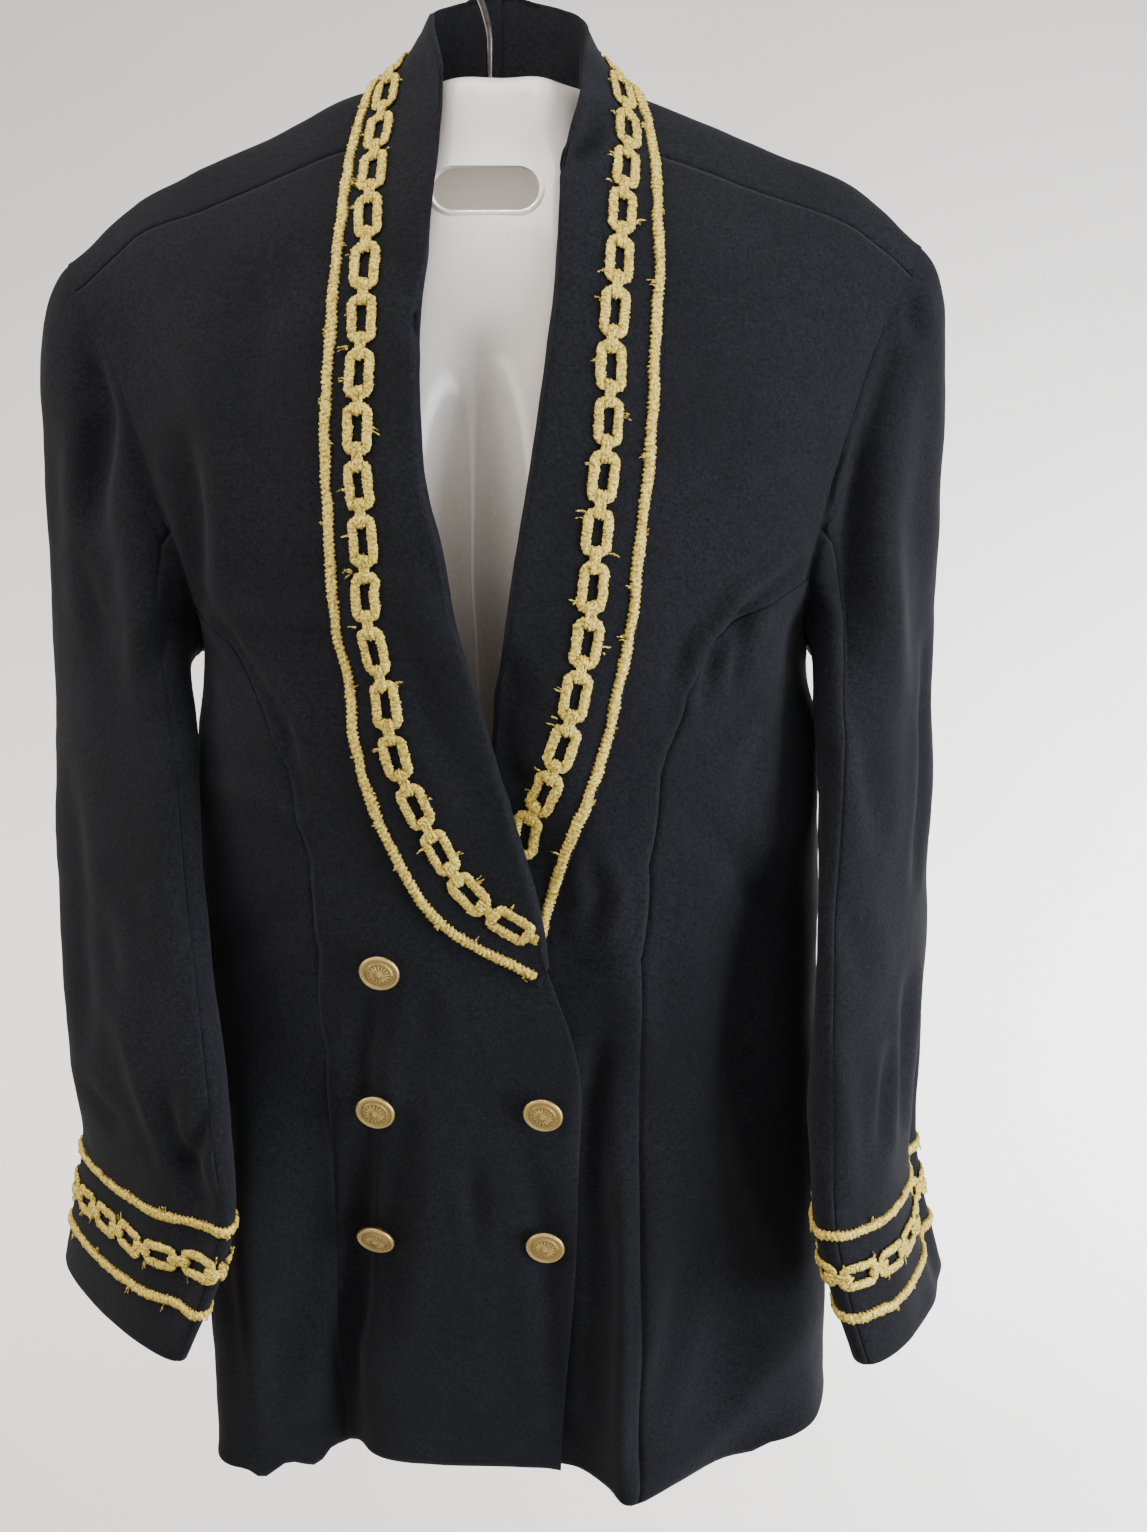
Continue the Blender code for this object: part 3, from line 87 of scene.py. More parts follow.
# Creases, given as depth (troughs below zero, ridges above), width and a line of (x, z)
CREASES_FRONT = (
    (-3, 7, ((-65, -545), (-72, -580), (-71, -616), (-77, -666), (-85, -736), (-93, -814))),
    (-3, 10, ((-55, -621), (-63, -682), (-72, -746))),
    (-0.7, 6, ((-37, -544), (-35, -569))),
    (-1, 5, ((-15, -642), (-11, -684))),
    (-1.5, 7, ((12, -630), (25, -684), (30, -808))),
    (-2, 6, ((54, -576), (50, -604), (49, -662))),
    (-1.5, 5, ((76, -630), (75, -714), (74, -825))),
    (1.2, 10, ((70, -523), (75, -557), (83, -604))),
    (-1.2, 4, ((36, -525), (69, -523))),
    (-1.5, 5, ((48, -467), (55, -488), (48, -506))),
    (1.5, 5, ((96, -396), (102, -364), (123, -340), (144, -323), (159, -316))),
    (-2, 5, ((103, -382), (114, -358), (135, -335), (152, -327))),
    (-1.5, 4, ((121, -383), (125, -359), (128, -347))),
    (-1, 5, ((94, -417), (125, -399), (147, -388))),
    (-1, 6, ((129, -437), (143, -403))),
    (-1.4, 5, ((-150, -342), (-133, -366), (-108, -398), (-98, -439))),
    (-1, 5, ((-146, -371), (-125, -393), (-102, -410))),
    (0.9, 6, ((-157, -441), (-122, -442), (-93, -454))),
    (-2.5, 8, ((-155, -265), (-154, -300), (-157, -343))),
    (1.6, 14, ((-175, -162), (-152, -207), (-134, -250), (-130, -308))),
    (-1.2, 12, ((-100, -169), (-117, -207), (-119, -255))),
    (-1, 10, ((84, -287), (122, -262), (163, -257))),
    (-2, 10, ((162, -350), (161, -398), (153, -448))),
    (-5, 16, ((137, -500), (131, -584), (146, -664), (174, -735))),
    (-1.5, 8, ((104, -693), (85, -781), (77, -831))),
    (2, 14, ((170, -738), (137, -801), (101, -834))),
    (-0.9, 8, ((-150, -539), (-102, -497))),
    (-1.5, 8, ((-155, -621), (-155, -729), (-148, -828))),
    (-1, 10, ((-123, -728), (-134, -818))),
    (1, 8, ((-97, -730), (-114, -800))),
    (-1.2, 7, ((99, -449), (127, -475), (149, -520))),
    (-1.2, 7, ((54, -649), (58, -720), (55, -799))),
)
CREASES_BACK = (
    (-2, 7, ((-150, -300), (-110, -380), (-60, -430))),
    (-2, 7, ((150, -295), (112, -375), (66, -425))),
    (-1.5, 6, ((-140, -360), (-90, -440), (-40, -480))),
    (-1.5, 6, ((144, -350), (96, -436), (44, -470))),
    (1.2, 8, ((-120, -480), (-40, -500), (40, -492), (118, -474))),
    (-1.6, 6, ((-110, -512), (-30, -530), (20, -526))),
    (-1.2, 6, ((110, -520), (50, -534), (10, -530))),
    (-1.5, 9, ((-40, -560), (-46, -700), (-44, -820))),
    (1.4, 12, ((30, -580), (36, -700), (34, -825))),
    (-1.6, 9, ((96, -600), (104, -720), (108, -826))),
    (1.2, 10, ((-100, -620), (-108, -740), (-110, -826))),
    (-1.2, 8, ((-150, -560), (-146, -680))),
    (-1, 8, ((150, -570), (152, -700))),
    (1.2, 14, ((-80, -150), (-60, -220), (-64, -300))),
    (-1.2, 12, ((60, -160), (48, -240), (56, -300))),
    (-1, 8, ((0, -120), (4, -190))),
)
CREASES_SLEEVE_LEFT = (
    (-3, 8, ((-209, -206), (-206, -252), (-216, -304))),
    (-2, 4, ((-190, -252), (-179, -279))),
    (1.5, 10, ((-193, -292), (-188, -343), (-188, -395))),
    (-1.2, 6, ((-227, -326), (-214, -367))),
    (-1.5, 8, ((-240, -446), (-230, -507), (-227, -581))),
    (-2.5, 6, ((-176, -596), (-164, -631), (-156, -647))),
    (-2, 5, ((-151, -600), (-160, -633))),
    (1.5, 8, ((-205, -552), (-187, -594), (-167, -623))),
    (-2, 8, ((-162, -437), (-160, -525))),
    (-1.2, 8, ((-216, -503), (-205, -552))),
    (-1.2, 6, ((-169, -344), (-182, -384))),
    (-1, 6, ((-230, -612), (-204, -623))),
)
CREASES_SLEEVE_RIGHT = (
    (-4, 10, ((202, -206), (187, -262), (183, -322), (184, -393))),
    (-1.2, 7, ((190, -403), (202, -467))),
    (-1.5, 4, ((236, -373), (234, -437), (228, -499))),
    (-2, 5, ((224, -550), (220, -622))),
    (1.5, 10, ((203, -323), (215, -398))),
    (1, 6, ((177, -566), (184, -640))),
    (-2, 5, ((210, -578), (204, -621))),
    (-1.2, 5, ((213, -186), (219, -211))),
    (-1, 7, ((177, -491), (193, -535))),
)
# The back of a sleeve, for the right one: the left one has the same turned over
CREASES_SLEEVE_BACK = (
    (-2, 7, ((225, -260), (215, -330), (205, -390))),
    (-1.5, 6, ((180, -420), (200, -470), (215, -500))),
    (-1.5, 6, ((190, -500), (205, -560))),
    (1.2, 9, ((200, -560), (195, -640))),
    (-2, 7, ((185, -300), (188, -380))),
    (-1, 6, ((220, -600), (206, -640))),
)
CREASES_COLLAR = (
    (-1.2, 5, ((-36, -207), (-26, -196))),
    (-0.8, 6, ((-41, -170), (-34, -212))),
    (-0.8, 6, ((-29, -314), (-17, -352))),
    (-2, 5, ((38, -127), (48, -117), (53, -106))),
    (-1, 6, ((4, -358), (16, -386))),
    (-0.8, 6, ((9, -420), (21, -429))),
    (-0.8, 8, ((-46, -343), (-30, -392), (-11, -433))),
)

# How the cloth hangs aside from its CAD form, by level: the neckline's edges and the way they move
# Columns: z, edge_left, move_left, edge_right, move_right
NECKLINE = (
    (-430, 1, 0, 1, 0), (-390, -2, -2, 3, 2), (-334, -19, -6, 10, 6), (-274, -33, -5, 19, 6),
    (-228, -37, -2.5, 26, 6), (-193, -37.5, 0, 30.6, 5.5), (-157, -37, 4, 33, 2), (-120, -36.5, 4.5, 35.6, -3),
    (-90, -36, 4.5, 36, -4.5), (-60, -36, 0, 36, 0),
)
# The front hem, as (x, rise)
HEM = (
    (-182, 0), (-150, -2), (-140, -9), (-126, -2), (-110, -9), (-101, 0), (-90, 3), (-76, 6.5), (-30, 2.5),
    (20, 1), (40, -2), (60, -8), (75, -9), (95, -7), (121, -3), (142, 0), (155, 8), (175, 13), (190, 14),
)
# The shoulders, as (distance from the middle, rise)
SHOULDERS = ((60, 0), (90, 3), (130, 4), (180, 4), (205, 1), (220, -2.5), (240, -3))
# The sleeves, as (z, move to the right)
SLEEVES_ASIDE = {
    "left": ((-690, 0), (-640, 3), (-580, 5), (-480, 3.5), (-300, 2.5), (-180, 2.5), (-120, 1)),
    "right": ((-690, 0), (-620, -2), (-520, -1.5), (-430, 1.5), (-360, 1), (-260, -2), (-180, -2.5),
              (-120, -1)),
}

# Trims
BRAID_WIDTH = 5.4
BRAID_HEIGHT = 2.0
BRAID_STITCH = 2.5
BRAID_SLANT = 0.42
LINK_HALF_LENGTH = 9.9
LINK_HALF_WIDTH = 5.0
LINK_CORNER = 2.9
YARN_HALF_WIDTH = 2.3
YARN_HALF_HEIGHT = 1.1
YARN_STITCH = 1.7
# How unevenly they are knitted: sideways, in width, in size, in direction and along a link's edge
BRAID_SWAY = 0.42
BRAID_SWELL = 0.08
LINK_SIZES = 0.025
LINK_LEAN = 0.035
LINK_BUMPS = 0.16
CRINKLE = 0.26
CHAIN_PITCH = 27.0
LINK_END_GAP = 4.0
BAND_LENGTH = 15.0
STRAND_SPACING = 1.55
STRAND_HALF_WIDTH = 1.05
STRAND_STITCH = 1.9
THREAD_RADIUS = 0.34
# How much further the trims' lower ends run than their nodes
RUN_ON = {"collar_braid_right": 14.0, "collar_chain_right": 26.0, "collar_chain_left": -7.0}
# Mean distance between yarn ends that stick out
TUFT_SPACING = {"braid": 30.0, "chain": 21.0}

# Buttons: turned profile from the centre of the face to the shank, as (radius, height)
BUTTON_PROFILE = (
    (0.0, 9.2), (1.3, 9.15), (2.0, 8.85), (2.5, 8.6), (3.6, 8.55), (4.6, 8.5), (5.5, 8.35), (6.1, 8.2),
    (6.5, 8.5), (6.9, 8.1), (7.3, 7.75), (7.9, 7.7), (8.5, 7.7), (8.9, 7.9), (9.3, 8.15), (9.9, 8.1),
    (10.4, 7.75), (10.72, 7.2), (10.5, 6.4), (9.8, 5.5), (7.0, 4.8), (3.2, 4.4), (2.2, 3.8), (1.9, 2.0),
    (1.9, 0.0), (0.0, 0.0),
)
BUTTON_STEPS = 96
# Rays, rope and beads on its face: how many, their slant, radius, width and height
BUTTON_RINGS = ((16, 0, 4.1, 1.5, 0.30), (32, 2.2, 6.6, 0.5, 0.22), (48, 0, 8.2, 0.45, 0.12))
# The stamped face lies above this height, and the shank ends so far above the cloth
BUTTON_FACE = 6.8
BUTTON_SEAT = 0.25

# Torso form: the body's levels that its face follows, from below the waist up to the shoulder ridge
# Columns: z_front, z_back, z_side, y_front, y_back, y_side_front, y_side_back, x_middle, half_width,
# squareness, sweep
LEVELS = (
    (-670, -670, -672, -104, 64, -2, -2, 3, 182, 2.5, 1.0),
    (-590, -590, -590, -107, 60, 0, 0, 2, 179, 2.3, 1.0),
    (-510, -510, -510, -112, 57, 2, 2, 3, 177, 2.15, 1.0),
    (-440, -440, -440, -118, 64, 4, 4, 3, 175.5, 2.15, 1.0),
    (-378, -378, -378, -120, 74, 5, 5, 3, 167, 2.25, 1.0),
    (-350, -350, -354, -119, 78, -34, 40, 1, 162, 2.35, 0.97),
    (-318, -318, -330, -116, 82, -47, 52, 0, 163, 2.3, 0.94),
    (-268, -268, -290, -108, 84, -45, 54, -1, 174, 2.2, 0.91),
    (-208, -205, -243, -93, 82, -33, 48, -2, 190, 2.1, 0.88),
    (-150, -128, -208, -70, 70, -20, 36, -2, 205, 2.0, 0.84),
    (-100, -76, -184, -31, 44, -9, 22, -2, 220, 2.0, 0.8),
    (-68, -68, -168, 6, 6, 6, 6, -2, 224, 2.0, 0.8),
)
# Share of a level's whole drop that is reached at each share of the way out from the middle
DROP_LEFT = ((0, 0), (0.2, 0.1), (0.3, 0.2), (0.424, 0.346), (0.58, 0.51), (0.714, 0.634),
             (0.839, 0.765), (1, 1))
DROP_RIGHT = ((0, 0), (0.2, 0.09), (0.384, 0.265), (0.54, 0.435), (0.683, 0.535), (0.808, 0.65),
              (0.924, 0.79), (1, 0.91))
# Places on the body's surface are u across it, from -1 to 1, and v, which counts the levels up the front
# and on down the back. How far the form lies inside it, as (v, depth), and its grid's rows and columns:
FORM_INSET = (
    (1.3, 20), (3.6, 20), (4.4, 17), (5.4, 12), (7, 8.5), (8, 8), (9, 6.5), (10, 5.0), (10.35, 4.4),
    (10.7, 3.6), (11, 2.5), (11.3, 3.6), (12, 5.0), (13.2, 8), (15, 11), (17, 13), (20.7, 16),
)
FORM_ROWS = (1.3, 2.4, 3.6, 4.8, 6, 7.2, 8.2, 9, 9.5, 10, 10.35, 10.7, 11,
             11.3, 11.6, 12, 12.5, 13.2, 15, 17.5, 19.2, 20.7)
FORM_COLUMNS = (-1.0, -0.8, -0.58, -0.37, -0.24, -0.16, -0.12, -0.07, 0.02,
                0.1, 0.15, 0.19, 0.26, 0.38, 0.58, 0.8, 1.0)
NECK_X = 3.5
NECK_HALF = 34.0
NECK_FOOT = 43.0
# What lies closer to its middle line than this x and above this z belongs to the neck
NECK_PLACE = (75, -175)
# The neck's outline from front to back, as (v, z, y, share of the way from the form's face to it)
NECK_ROWS = ((8.6, -172, -78, 0.0), (9.3, -142, -60, 0.35), (9.8, -112, -45, 0.85), (10.2, -90, -36, 1.0),
             (10.6, -85, -26, 1.0), (11, -84.5, 0, 1.0), (11.4, -85, 26, 1.0), (11.8, -92, 34, 1.0),
             (12.3, -110, 40, 0.8), (13, -128, 52, 0.0))
# The hollow between the form's two sides, as for the creases
FORM_HOLLOWS = (
    (-5, 13, ((-9, -225), (-13, -330), (-12, -470))),
    (-13, 34, ((-12, -225), (-12, -330), (0, -480))),
)
FORM_WALL = 2.2
FORM_CLEARANCE = 3.4
SLOT_CENTRE = (-3.0, -140.0)
SLOT_LENGTH = 52.0
SLOT_HEIGHT = 21.0
SLOT_STEPS = 96
LIP_WIDTH = 3.4
LIP_DEPTH = 6.0
LIP_RISE = 0.75
LIP_WALL = 0.6
WIRE_RADIUS = 1.9
# The wire from inside the neck to the crown, as (x, z), and the crown's arc, in degrees
WIRE_PATH = ((-3, -95), (-3, -85), (-3, -74), (-3, -62), (-4.4, -54), (-7.4, -44.5), (-12.6, -36))
CROWN_RADIUS = 22.9
CROWN_ANGLES = (205, -32)

# Studio, in metres and watts
FLOOR_Z = -4.4
FLOOR_LENGTH = 8.1
WALL_Y = 3.3
WALL_HEIGHT = 7.8
BEND_RADIUS = 1.2
STUDIO_HALF_WIDTH = 8
ROOM_COLOUR = "#efe6de"
ROOM_STRENGTH = 0.5
# Name, place, the place it is aimed at, size, power and colour
LIGHTS = (
    ("window", (1.6, -0.75, -0.55), (0.05, 0, -0.5), (1.1, 1.6), 62, "#f2f6ff"),
    ("left_side", (-1.6, -0.55, 0.1), (0, 0, -0.45), (1.1, 1.6), 24, "#fff7ee"),
    ("top", (-0.1, -0.5, 1.3), (0, 0, -0.4), (1.8, 1.0), 34, "#fffaf4"),
    ("fill", (0.3, -2.2, -0.9), (0, 0, -0.5), (2.0, 1.6), 9, "#ffffff"),
    ("wall_right", (2.3, 1.3, -2.0), (1.8, 3.3, -2.1), (2.2, 2.0), 330, "#f5f8ff"),
    ("wall_left", (-2.0, 1.2, -2.2), (-1.3, 3.3, -2.3), (2.0, 1.8), 85, "#fff3ea"),
    ("inside_form", (-0.003, -0.030, -0.125), (-0.003, 0, -0.2), (0.03, 0.01), 0.1, "#fff6ee"),
)
CAMERA_PLACE = (0.040, -0.905, -0.2197)
CAMERA_TILT = 76
CAMERA_SENSOR = 36.0
# Distance of the picture plane over the picture's height
CAMERA_FOCUS = 1643 / 1532


# Materials
def linear(code):
    """A colour written as an sRGB hex value, as the linear one that a shader takes."""
    channels = [int(code[i:i + 2], 16) / 255 for i in (1, 3, 5)]
    return (*(c / 12.92 if c <= 0.04045 else ((c + 0.055) / 1.055) ** 2.4 for c in channels), 1.0)


def add_node(tree, kind, settings, links=None):
    """Adds a node: settings are its inputs or properties, and links say which socket feeds an input."""
    made = tree.nodes.new(kind)
    for key, value in settings.items():
        if isinstance(key, int) or key in made.inputs:
            made.inputs[key].default_value = value
        else:
            setattr(made, key, value)
    for key, socket in (links or {}).items():
        tree.links.new(socket, made.inputs[key])
    return made


def start_material(name, settings):
    """A material, and the place on the piece that its patterns go by."""
    made = bpy.data.materials.new(name)
    made.use_nodes = True
    for key, value in settings.items():
        made.node_tree.nodes["Principled BSDF"].inputs[key].default_value = value
    return made, made.node_tree, add_node(made.node_tree, "ShaderNodeTexCoord", {}).outputs["Object"]


def blend_colours(tree, factor, dark, bright):
    """Mixes two colours. Each is a hex value or a socket."""
    mix = add_node(tree, "ShaderNodeMix", {"data_type": "RGBA"}, {"Factor": factor})
    for number, colour in ((6, dark), (7, bright)):
        if isinstance(colour, str):
            mix.inputs[number].default_value = linear(colour)
        else:
            tree.links.new(colour, mix.inputs[number])
    return mix.outputs[2]


def finish_material(made, colour, roughness=None, relief=None):
    """Colours a material. roughness is a pattern and its range, and relief a pattern, its strength and depth."""
    tree, shader = made.node_tree, made.node_tree.nodes["Principled BSDF"]
    tree.links.new(colour, shader.inputs["Base Color"])
    if roughness:
        pattern, settings = roughness
        rough = add_node(tree, "ShaderNodeMapRange", settings, {"Value": pattern})
        tree.links.new(rough.outputs["Result"], shader.inputs["Roughness"])
    if relief:
        pattern, strength, depth = relief
        bump = add_node(tree, "ShaderNodeBump", {"Strength": strength, "Distance": depth * MM},
                        {"Height": pattern})
        tree.links.new(bump.outputs["Normal"], shader.inputs["Normal"])
    return made


def crepe_material():
    """Crepe: hard-twisted yarns that pull the weave into small pebbles, dull, with a soft bloom."""
    made, tree, place = start_material("wool_crepe", {
        "Roughness": 0.9, "Specular IOR Level": 0.14, "Sheen Weight": 0.09, "Sheen Roughness": 0.5,
        "Sheen Tint": linear("#9aa0aa"),
    })
    # Real pebbles are about 0.8 mm: 1.7 mm here, so that they still show in the render
    pebbles = add_node(tree, "ShaderNodeTexNoise", {
        "Scale": 1 / (1.7 * MM), "Detail": 2.5, "Roughness": 0.65, "Distortion": 0.9}, {"Vector": place})
    clouds = add_node(tree, "ShaderNodeTexNoise", {"Scale": 1 / (60 * MM), "Detail": 3.0}, {"Vector": place})
    spread = add_node(tree, "ShaderNodeMapRange", {"From Min": 0.36, "From Max": 0.66},
                      {"Value": pebbles.outputs["Fac"]})
    tone = add_node(tree, "ShaderNodeMapRange", {
        "From Min": 0.3, "From Max": 0.7, "To Min": 0.55, "To Max": 1.0}, {"Value": clouds.outputs["Fac"]})
    both = add_node(tree, "ShaderNodeMath", {"operation": "MULTIPLY"},
                    {0: spread.outputs["Result"], 1: tone.outputs["Result"]})
    black = blend_colours(tree, both.outputs["Value"], "#0d0e11", "#1e2026")
    return finish_material(made, black, relief=(pebbles.outputs["Fac"], 0.8, 0.5))


def yarn_material():
    """Metallised polyester yarn, knitted: painted glints as bright specks on the crests, and painted shade,
    brown, in the stitches' valleys.
    """
    made, tree, place = start_material("knitted_gold_yarn", {"Metallic": 0.25, "Specular IOR Level": 0.5})
    crest = add_node(tree, "ShaderNodeAttribute", {"attribute_name": "stitch"}).outputs["Fac"]
    # Painted glints: bright specks, about 0.5 mm on the real yarn, are 1.4 mm here, so that they still show in
    # the render
    fibres = add_node(tree, "ShaderNodeTexNoise", {
        "Scale": 1 / (1.4 * MM), "Detail": 3.0, "Roughness": 0.75}, {"Vector": place}).outputs["Fac"]
    glint_flecks = add_node(tree, "ShaderNodeMapRange", {"From Min": 0.44, "From Max": 0.55},
                      {"Value": fibres}).outputs["Result"]
    # Painted shade: the stitch height darkens the colour in the valleys and on the undersides, and lightens it
    # on the crests
    valley_shade = add_node(tree, "ShaderNodeMath", {"operation": "MULTIPLY", 1: 0.4}, {0: crest})
    share = add_node(tree, "ShaderNodeMath", {"operation": "MULTIPLY_ADD", 1: 0.6},
                     {0: glint_flecks, 2: valley_shade.outputs["Value"]})
    gold = blend_colours(tree, share.outputs["Value"], "#7c5611", "#ffe870")
    return finish_material(made, gold, (glint_flecks, {"To Min": 0.62, "To Max": 0.34}), (fibres, 1.0, 0.6))


def brass_material():
    """Gold-lacquered stamped brass: pale gold on the worn heights, brown left in the hollows."""
    made, tree, place = start_material("lacquered_brass", {"Metallic": 1.0})
    height = add_node(tree, "ShaderNodeAttribute", {"attribute_name": "stitch"}).outputs["Fac"]
    wear = add_node(tree, "ShaderNodeTexNoise", {"Scale": 1 / (1.2 * MM), "Detail": 4.0},
                    {"Vector": place}).outputs["Fac"]
    mixed = add_node(tree, "ShaderNodeMath", {"operation": "MULTIPLY_ADD", 1: 0.35, 2: -0.12}, {0: wear})
    total = add_node(tree, "ShaderNodeMath", {"operation": "ADD", "use_clamp": True},
                     {0: mixed.outputs["Value"], 1: height})
    brass = blend_colours(tree, total.outputs["Value"], "#765822", "#f6dc94")
    return finish_material(made, brass, (wear, {"To Min": 0.34, "To Max": 0.5}), (wear, 0.25, 0.1))


def plastic_material():
    """Blow-moulded polystyrene: glossy white, faintly wavy, with fine scuffs from shop use, and painted shade
    that darkens it further down.
    """
    made, tree, place = start_material("white_polystyrene", {
        "IOR": 1.59, "Coat Weight": 0.25, "Coat Roughness": 0.12, "Subsurface Weight": 0.05,
        "Subsurface Radius": (0.002, 0.002, 0.002), "Subsurface Scale": 1.0,
    })
    waves = add_node(tree, "ShaderNodeTexNoise", {"Scale": 1 / (26 * MM), "Detail": 1.0}, {"Vector": place})
    scuffs = add_node(tree, "ShaderNodeTexNoise", {
        "Scale": 1 / (5 * MM), "Detail": 6.0, "Roughness": 0.75, "Distortion": 1.5,
    }, {"Vector": place}).outputs["Fac"]
    white = blend_colours(tree, scuffs, "#e4dfd9", "#efebe6")
    # Painted shade: the white darkens further down, towards the bottom of the V, where the collar shades the
    # form
    level = add_node(tree, "ShaderNodeSeparateXYZ", {}, {"Vector": place})
    depth = add_node(tree, "ShaderNodeMapRange", {"From Min": -0.17, "From Max": -0.40, "To Max": 0.9},
                     {"Value": level.outputs["Z"]})
    shade = blend_colours(tree, depth.outputs["Result"], white, "#6d645d")
    gloss = {"From Min": 0.35, "From Max": 0.75, "To Min": 0.17, "To Max": 0.34}
    return finish_material(made, shade, (scuffs, gloss), (waves.outputs["Fac"], 0.12, 1.5))


def steel_material():
    """Drawn steel wire, nickel plated: bright, with faint lines along it and a few dull spots."""
    made, tree, place = start_material("nickel_plated_wire", {"Metallic": 1.0})
    turned = add_node(tree, "ShaderNodeMapping", {"Scale": (1.0, 1.0, 0.06)}, {"Vector": place})
    lines = add_node(tree, "ShaderNodeTexNoise", {"Scale": 1 / (0.6 * MM), "Detail": 2.0},
                     {"Vector": turned.outputs["Vector"]})
    spots = add_node(tree, "ShaderNodeTexNoise", {"Scale": 1 / (4 * MM), "Detail": 3.0},
                     {"Vector": place}).outputs["Fac"]
    nickel = blend_colours(tree, spots, "#4c4946", "#8b8783")
    gloss = {"To Min": 0.2, "To Max": 0.42}
    return finish_material(made, nickel, (spots, gloss), (lines.outputs["Fac"], 0.2, 0.1))


def plaster_material():
    """Painted plaster of the studio's wall and floor: pale, matt, faintly mottled."""
    made, tree, place = start_material("painted_plaster", {"Roughness": 0.9})
    mottle = add_node(tree, "ShaderNodeTexNoise", {"Scale": 1 / 0.5, "Detail": 2.0}, {"Vector": place})
    return finish_material(made, blend_colours(tree, mottle.outputs["Fac"], "#dcd8d3", "#e6e3df"))


CREPE = crepe_material()
YARN = yarn_material()
BRASS = brass_material()
PLASTIC = plastic_material()
STEEL = steel_material()


# Small helpers
def soft_step(t):
    t = np.clip(t, 0.0, 1.0)
    return t * t * (3 - 2 * t)


def curve_through(table, at):
    """Reads a smooth curve through a table along its first column: a cubic that never overshoots its rows."""
    table = np.asarray(table, float)
    knots, values = table[:, 0], table[:, 1:]
    at = np.clip(np.asarray(at, float), knots[0], knots[-1])
    step = np.diff(knots)
    slope = np.diff(values, axis=0) / step[:, None]
    tangent = np.zeros_like(values)
    tangent[0], tangent[-1] = slope[0], slope[-1]
    before, after = slope[:-1], slope[1:]
    same = before * after > 0
    total = np.where(same, before + after, 1.0)
    tangent[1:-1] = np.where(same, 2 * before * after / total, 0.0)
    i = np.clip(np.searchsorted(knots, at, side="right") - 1, 0, len(knots) - 2)
    span = step[i][..., None]
    t = (at - knots[i])[..., None] / span
    read = (
        (2 * t**3 - 3 * t**2 + 1) * values[i]
        + (t**3 - 2 * t**2 + t) * span * tangent[i]
        + (3 * t**2 - 2 * t**3) * values[i + 1]
        + (t**3 - t**2) * span * tangent[i + 1]
    )
    return read[..., 0] if values.shape[1] == 1 else read


def unit(vectors):
    return vectors / np.maximum(np.linalg.norm(vectors, axis=-1, keepdims=True), 1e-12)


def read_all(items, key, width=1, kind=float):
    """One value of each item, such as a mesh's corners, in rows that are so many numbers wide."""
    found = np.empty(len(items) * width, kind)
    items.foreach_get(key, found)
    return found.reshape(-1, width) if width > 1 else found


def corners_of(mesh):
    return read_all(mesh.vertices, "co", 3)


def normals_of(mesh):
    return read_all(mesh.vertex_normals, "vector", 3)


def move_corners(mesh, points):
    mesh.vertices.foreach_set("co", np.asarray(points, float).ravel())
    mesh.update()


def node_points(name):
    """A CAD node's corners, each once."""
    return np.unique(np.round(corners_of(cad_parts[name].data), 6), axis=0)


def search_tree(mesh):
    return BVHTree.FromPolygons([v.co for v in mesh.vertices], [tuple(f.vertices) for f in mesh.polygons])


def point_tree(points):
    tree = KDTree(len(points))
    for number, point in enumerate(points):
        tree.insert(point, number)
    tree.balance()
    return tree


def grid_corners(work, along, around):
    """Adds a grid. Each corner comes with its place on it, from 0 to 1 both ways."""
    verts = bmesh.ops.create_grid(work, x_segments=along, y_segments=around, size=1)["verts"]
    return [(vert, (vert.co.x + 1) / 2, (vert.co.y + 1) / 2) for vert in verts]


def mesh_of(work, name):
    """What has been worked as a bmesh, as a mesh. The bmesh goes."""
    made = bpy.data.meshes.new(name)
    work.to_mesh(made)
    work.free()
    return made


def new_object(name, data):
    made = bpy.data.objects.new(name, data)
    bpy.context.scene.collection.objects.link(made)
    return made


def finish_piece(piece, material, node=None):
    """Gives a piece its finish and its body, and hides the node that it stands for."""
    piece.data.materials.clear()
    piece.data.materials.append(material)
    piece.data.shade_smooth()
    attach(piece, "root")
    if node:
        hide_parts(node)


def add_wall(piece, thickness):
    """Gives a skin its wall, inwards from its outer face."""
    wall = piece.modifiers.new("wall", "SOLIDIFY")
    wall.thickness = thickness * MM
    wall.offset = -1


def baked(holder):
    """The holder's mesh with its modifiers applied. The holder goes."""
    made = bpy.data.meshes.new_from_object(holder.evaluated_get(bpy.context.evaluated_depsgraph_get()))
    bpy.data.objects.remove(holder, do_unlink=True)
    return made


def wavering(points, spacing, seed):
    """Smooth noise from -1 to 1 at each point, with humps about spacing millimetres apart."""
    shift = Vector((seed * 7.3, seed * 3.1, seed * 5.7))
    return np.array([noise.noise(Vector(point) / (spacing * MM) + shift) for point in points]) * 1.6


# Cloth
def body_core(z):
    x, y = BODY_CORE
    return np.stack([np.full_like(z, x * MM), np.full_like(z, y * MM), z], -1)


def sleeve_core(side):
    x = -SLEEVE_CORE_X if side == "left" else SLEEVE_CORE_X

    def core(z):
        y = np.interp(z / MM, *zip(*SLEEVE_CORE))
        return np.stack([np.full_like(z, x * MM), y * MM, z], -1)

    return core


def is_rim(face, thickness):
    """True for a face across the wall's edge: two opposite sides are as long as the wall is thick."""
    sizes = [abs(edge.calc_length() - thickness * MM) < 0.16 * MM for edge in face.edges]
    return len(sizes) == 4 and ((sizes[0] and sizes[2]) or (sizes[1] and sizes[3]))


